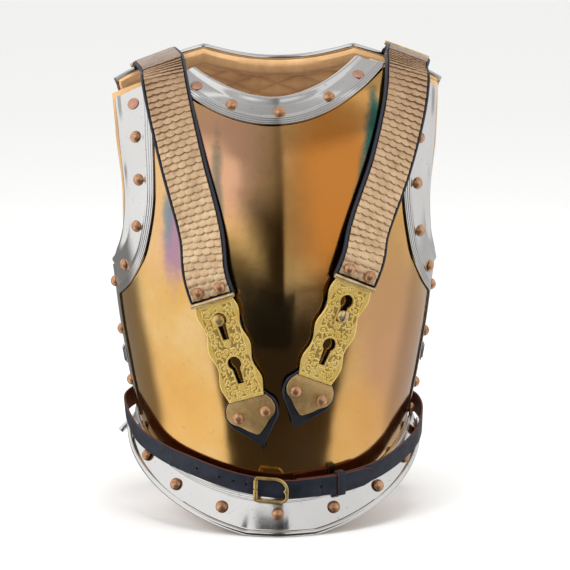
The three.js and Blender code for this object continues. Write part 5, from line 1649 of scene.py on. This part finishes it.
def flat_discs():
    """Rivets hammered flat, level with the borders, where the straps and lining would foul a head."""
    disc = blank("cylinder", vertices=40, radius=6.2 * MM, depth=0.9 * MM)
    rounded(disc, 0.35)
    for name, band, t in (("neck_disc_l", neck_band, 0.115), ("neck_disc_r", neck_band, 0.875),
                          ("arm_disc_l", arm_bands["l"], 0.075), ("arm_disc_r", arm_bands["r"], 0.09)):
        angle, z = band_spot(band, t, 0.46)
        set_head(disc, name, front.at(angle, z, 2.5), front.normal(angle, z), finish=FLAT_COPPER, angle=50)
    remove(disc)


def side_rivets():
    """Rivets of the side strips."""
    head = dome("side_rivet_pattern", RIVET_RADIUS * 0.95, RIVET_HEIGHT)
    for key, side, heights in (("l", -1, (238, 188, 134)), ("r", 1, (232, 183, 128.5, 100))):
        for i, z in enumerate(heights):
            angle = side * math.radians(82)
            set_head(head, f"side_rivet_{key}_{i + 1}", front.at(angle, z, 2.0), front.normal(angle, z))
    remove(head)


def slotted_plate(name, wide, tall, thick, slot, edge):
    piece = blank("cube", name, size=1)
    piece.data.transform(Matrix.Diagonal((wide * MM, tall * MM, thick * MM, 1)))
    cutter = blank("cube", size=1)
    cutter.data.transform(Matrix.Diagonal((slot[0] * MM, slot[1] * MM, 3 * thick * MM, 1)))
    cut(piece, cutter)
    rounded(piece, edge)
    return piece


def side_hooks():
    """The two-layered slotted catches on the side strips."""
    for key, side in SIDES.items():
        centre, normal = rivet_frame(f"side_hook_{key}", front)
        normal = front.normal(side * math.radians(84), 161)
        along = unit(np.cross([0, 0, 1.0], normal))
        for name, size, slot, lift, shift in ((f"catch_{key}", (10.2, 19, 1.3), (3.6, 10.5), -0.75, 0),
                                              (f"catch_top_{key}", (8.2, 14.5, 1.2), (3.2, 9.0), 0.6, 0.4)):
            piece = slotted_plate(name, *size, slot, 0.35)
            stand(piece, centre + normal * lift + along * shift, normal, lean=along)
            finished(piece, STEEL, "polished_steel", *([f"side_hook_{key}"] if lift < 0 else []), angle=40)


def end_tube():
    """The rolled end of the back flange, that shows as a short steel tube below the belt."""
    start, end = np.array([-138.0, 16.0, 95.0]), np.array([-161.5, 9.0, 72.0])
    line = Track([(lerp(start, end, t), np.array([-0.5, -0.7, 0.5])) for t in np.linspace(0, 1, 5)])
    end = line.length
    at = np.concatenate([[0, 0.3], np.linspace(0.8, end - 0.8, 10), [end - 0.3, end]])
    turns = np.linspace(0, 2 * math.pi, 25)
    ring = np.stack([np.cos(turns), np.sin(turns)], axis=-1)
    radius = np.array([2.5, 3.0, *[3.3] * 10, 3.0, 2.5])
    piece = laid_grid("back_flange_end_roll", line.swept(at, ring[None] * radius[:, None, None]), wrap=True)
    finished(piece, STEEL, "polished_steel", angle=50)


flat_discs()
side_rivets()
side_hooks()
end_tube()


# ---- Studio -----------------------------------------------------------------------------------------

DEGREES = 57.3              # in a radian


def studio():
    """A plain pale floor, soft light and the camera."""
    scene = bpy.context.scene
    floor = blank("plane", "floor", size=1)
    set_points(floor, [(-12, -12, 0), (12, -12, 0), (-12, 12, 0), (12, 12, 0)])
    paper = Finish("pale_floor", (0.92, 0.92, 0.915), 0.8)
    floor.data.materials.append(paper.material)
    floor.visible_glossy = False

    # A small black card, seen only by its reflection in the steel and brass.
    card = blank("plane", "black_card", size=1)
    set_points(card, [(x, -0.35, z) for z in (0.14, 0.24) for x in (-0.15, 0.08)])
    card.data.materials.append(Finish("black_card", (0.01, 0.01, 0.01), 0.9).material)
    card.visible_camera = card.visible_diffuse = card.visible_shadow = False

    target = Vector(in_place((12.5, 0, 228)))
    azimuth, elevation, distance = math.radians(-3), math.radians(9), 2.7
    away = Vector((math.sin(azimuth) * math.cos(elevation), -math.cos(azimuth) * math.cos(elevation),
                   math.sin(elevation)))
    camera_data = bpy.data.cameras.new("camera")
    camera_data.sensor_width = 36
    camera_data.lens = 162.4
    camera = bpy.data.objects.new("camera", camera_data)
    bpy.context.collection.objects.link(camera)
    camera.location = target + away * distance
    camera.rotation_euler = (-away).to_track_quat("-Z", "Y").to_euler()
    scene.camera = camera

    world = bpy.data.worlds.new("studio")
    scene.world = world
    world.use_nodes = True
    tree = world.node_tree
    background = tree.nodes["Background"]

    def node(kind, inputs=None, **settings):
        return new_node(tree, kind, inputs, **settings).outputs

    def maths(operation, a, b=0.0):
        return node("Math", {0: a, 1: b}, operation=operation)[0]

    def between(value, start, end):
        return node("MapRange", {"Value": value, "From Min": start, "From Max": end},
                    interpolation_type="SMOOTHSTEP")[0]

    def times(*factors):
        product = factors[0]
        for factor in factors[1:]:
            product = maths("MULTIPLY", product, factor)
        return product

    def fading(value, start, end, full, drop):
        """A brightness that falls from full by a drop between two places, or rises by a negative one."""
        return maths("SUBTRACT", full, times(between(value, start, end), drop))

    direction = node("SeparateXYZ", {0: node("TexCoord")["Generated"]})
    # Degrees to the right of straight ahead of the breastplate, and degrees above the horizon.
    azimuth = times(maths("ARCTAN2", direction["X"], times(direction["Y"], -1)), DEGREES)
    rise = times(maths("ARCSINE", direction["Z"]), DEGREES)
    leftward = times(azimuth, -1)
    # Tall panels at the two sides, two slanted ones in front, and a dim ceiling between them.
    panels = [
        times(between(leftward, 51, 57), fading(leftward, 112, 128, 1, 0.8)),
        times(between(azimuth, 55, 61), fading(azimuth, 105, 125, 0.82, 0.3)),
        times(between(maths("SUBTRACT", leftward, times(rise, 0.1)), 11, 17), between(rise, -2, 6),
              fading(rise, 38, 50, 1, 0.5)),
        times(between(azimuth, 6, 14), between(rise, -6, 1), fading(rise, 38, 50, 0.8, 0.4)),
        times(between(rise, 13, 28), fading(maths("ABSOLUTE", azimuth), 4, 13, 0.22, -0.22)),
        times(between(leftward, 13, 17), between(leftward, 34, 28), between(rise, 20, 24),
              between(rise, 42, 36), 1.5),
    ]
    light = panels[0]
    for panel in panels[1:]:
        light = maths("MAXIMUM", light, panel)
    dark, bright = (0.05, 0.04, 0.032, 1), (0.98, 0.97, 0.95, 1)
    shade = node("Mix", {0: light, 6: dark, 7: bright}, data_type="RGBA")[2]
    path = node("LightPath")
    soft = node("Mix", {0: path["Is Diffuse Ray"], 6: shade, 7: (1, 1, 1, 1)}, data_type="RGBA")[2]
    seen = node("Mix", {0: path["Is Camera Ray"], 6: soft, 7: (1, 1, 1, 1)}, data_type="RGBA")[2]
    tree.links.new(seen, background.inputs["Color"])
    background.inputs["Strength"].default_value = 1.0

    for name, place, size, power in [
        ("key", (-1.6, -1.5, 1.7), 1.0, 24),
        ("fill", (1.8, -1.2, 1.3), 1.4, 7),
        ("top", (0.1, -0.2, 2.2), 0.9, 20),
    ]:
        lamp_data = bpy.data.lights.new(name, "AREA")
        lamp_data.size = size
        lamp_data.energy = power
        lamp = bpy.data.objects.new(name, lamp_data)
        bpy.context.collection.objects.link(lamp)
        lamp.visible_glossy = False
        lamp.location = place
        lamp.rotation_euler = (Vector((0, 0, 0.25)) - Vector(place)).to_track_quat("-Z", "Y").to_euler()
    scene.view_settings.view_transform = "Standard"


studio()
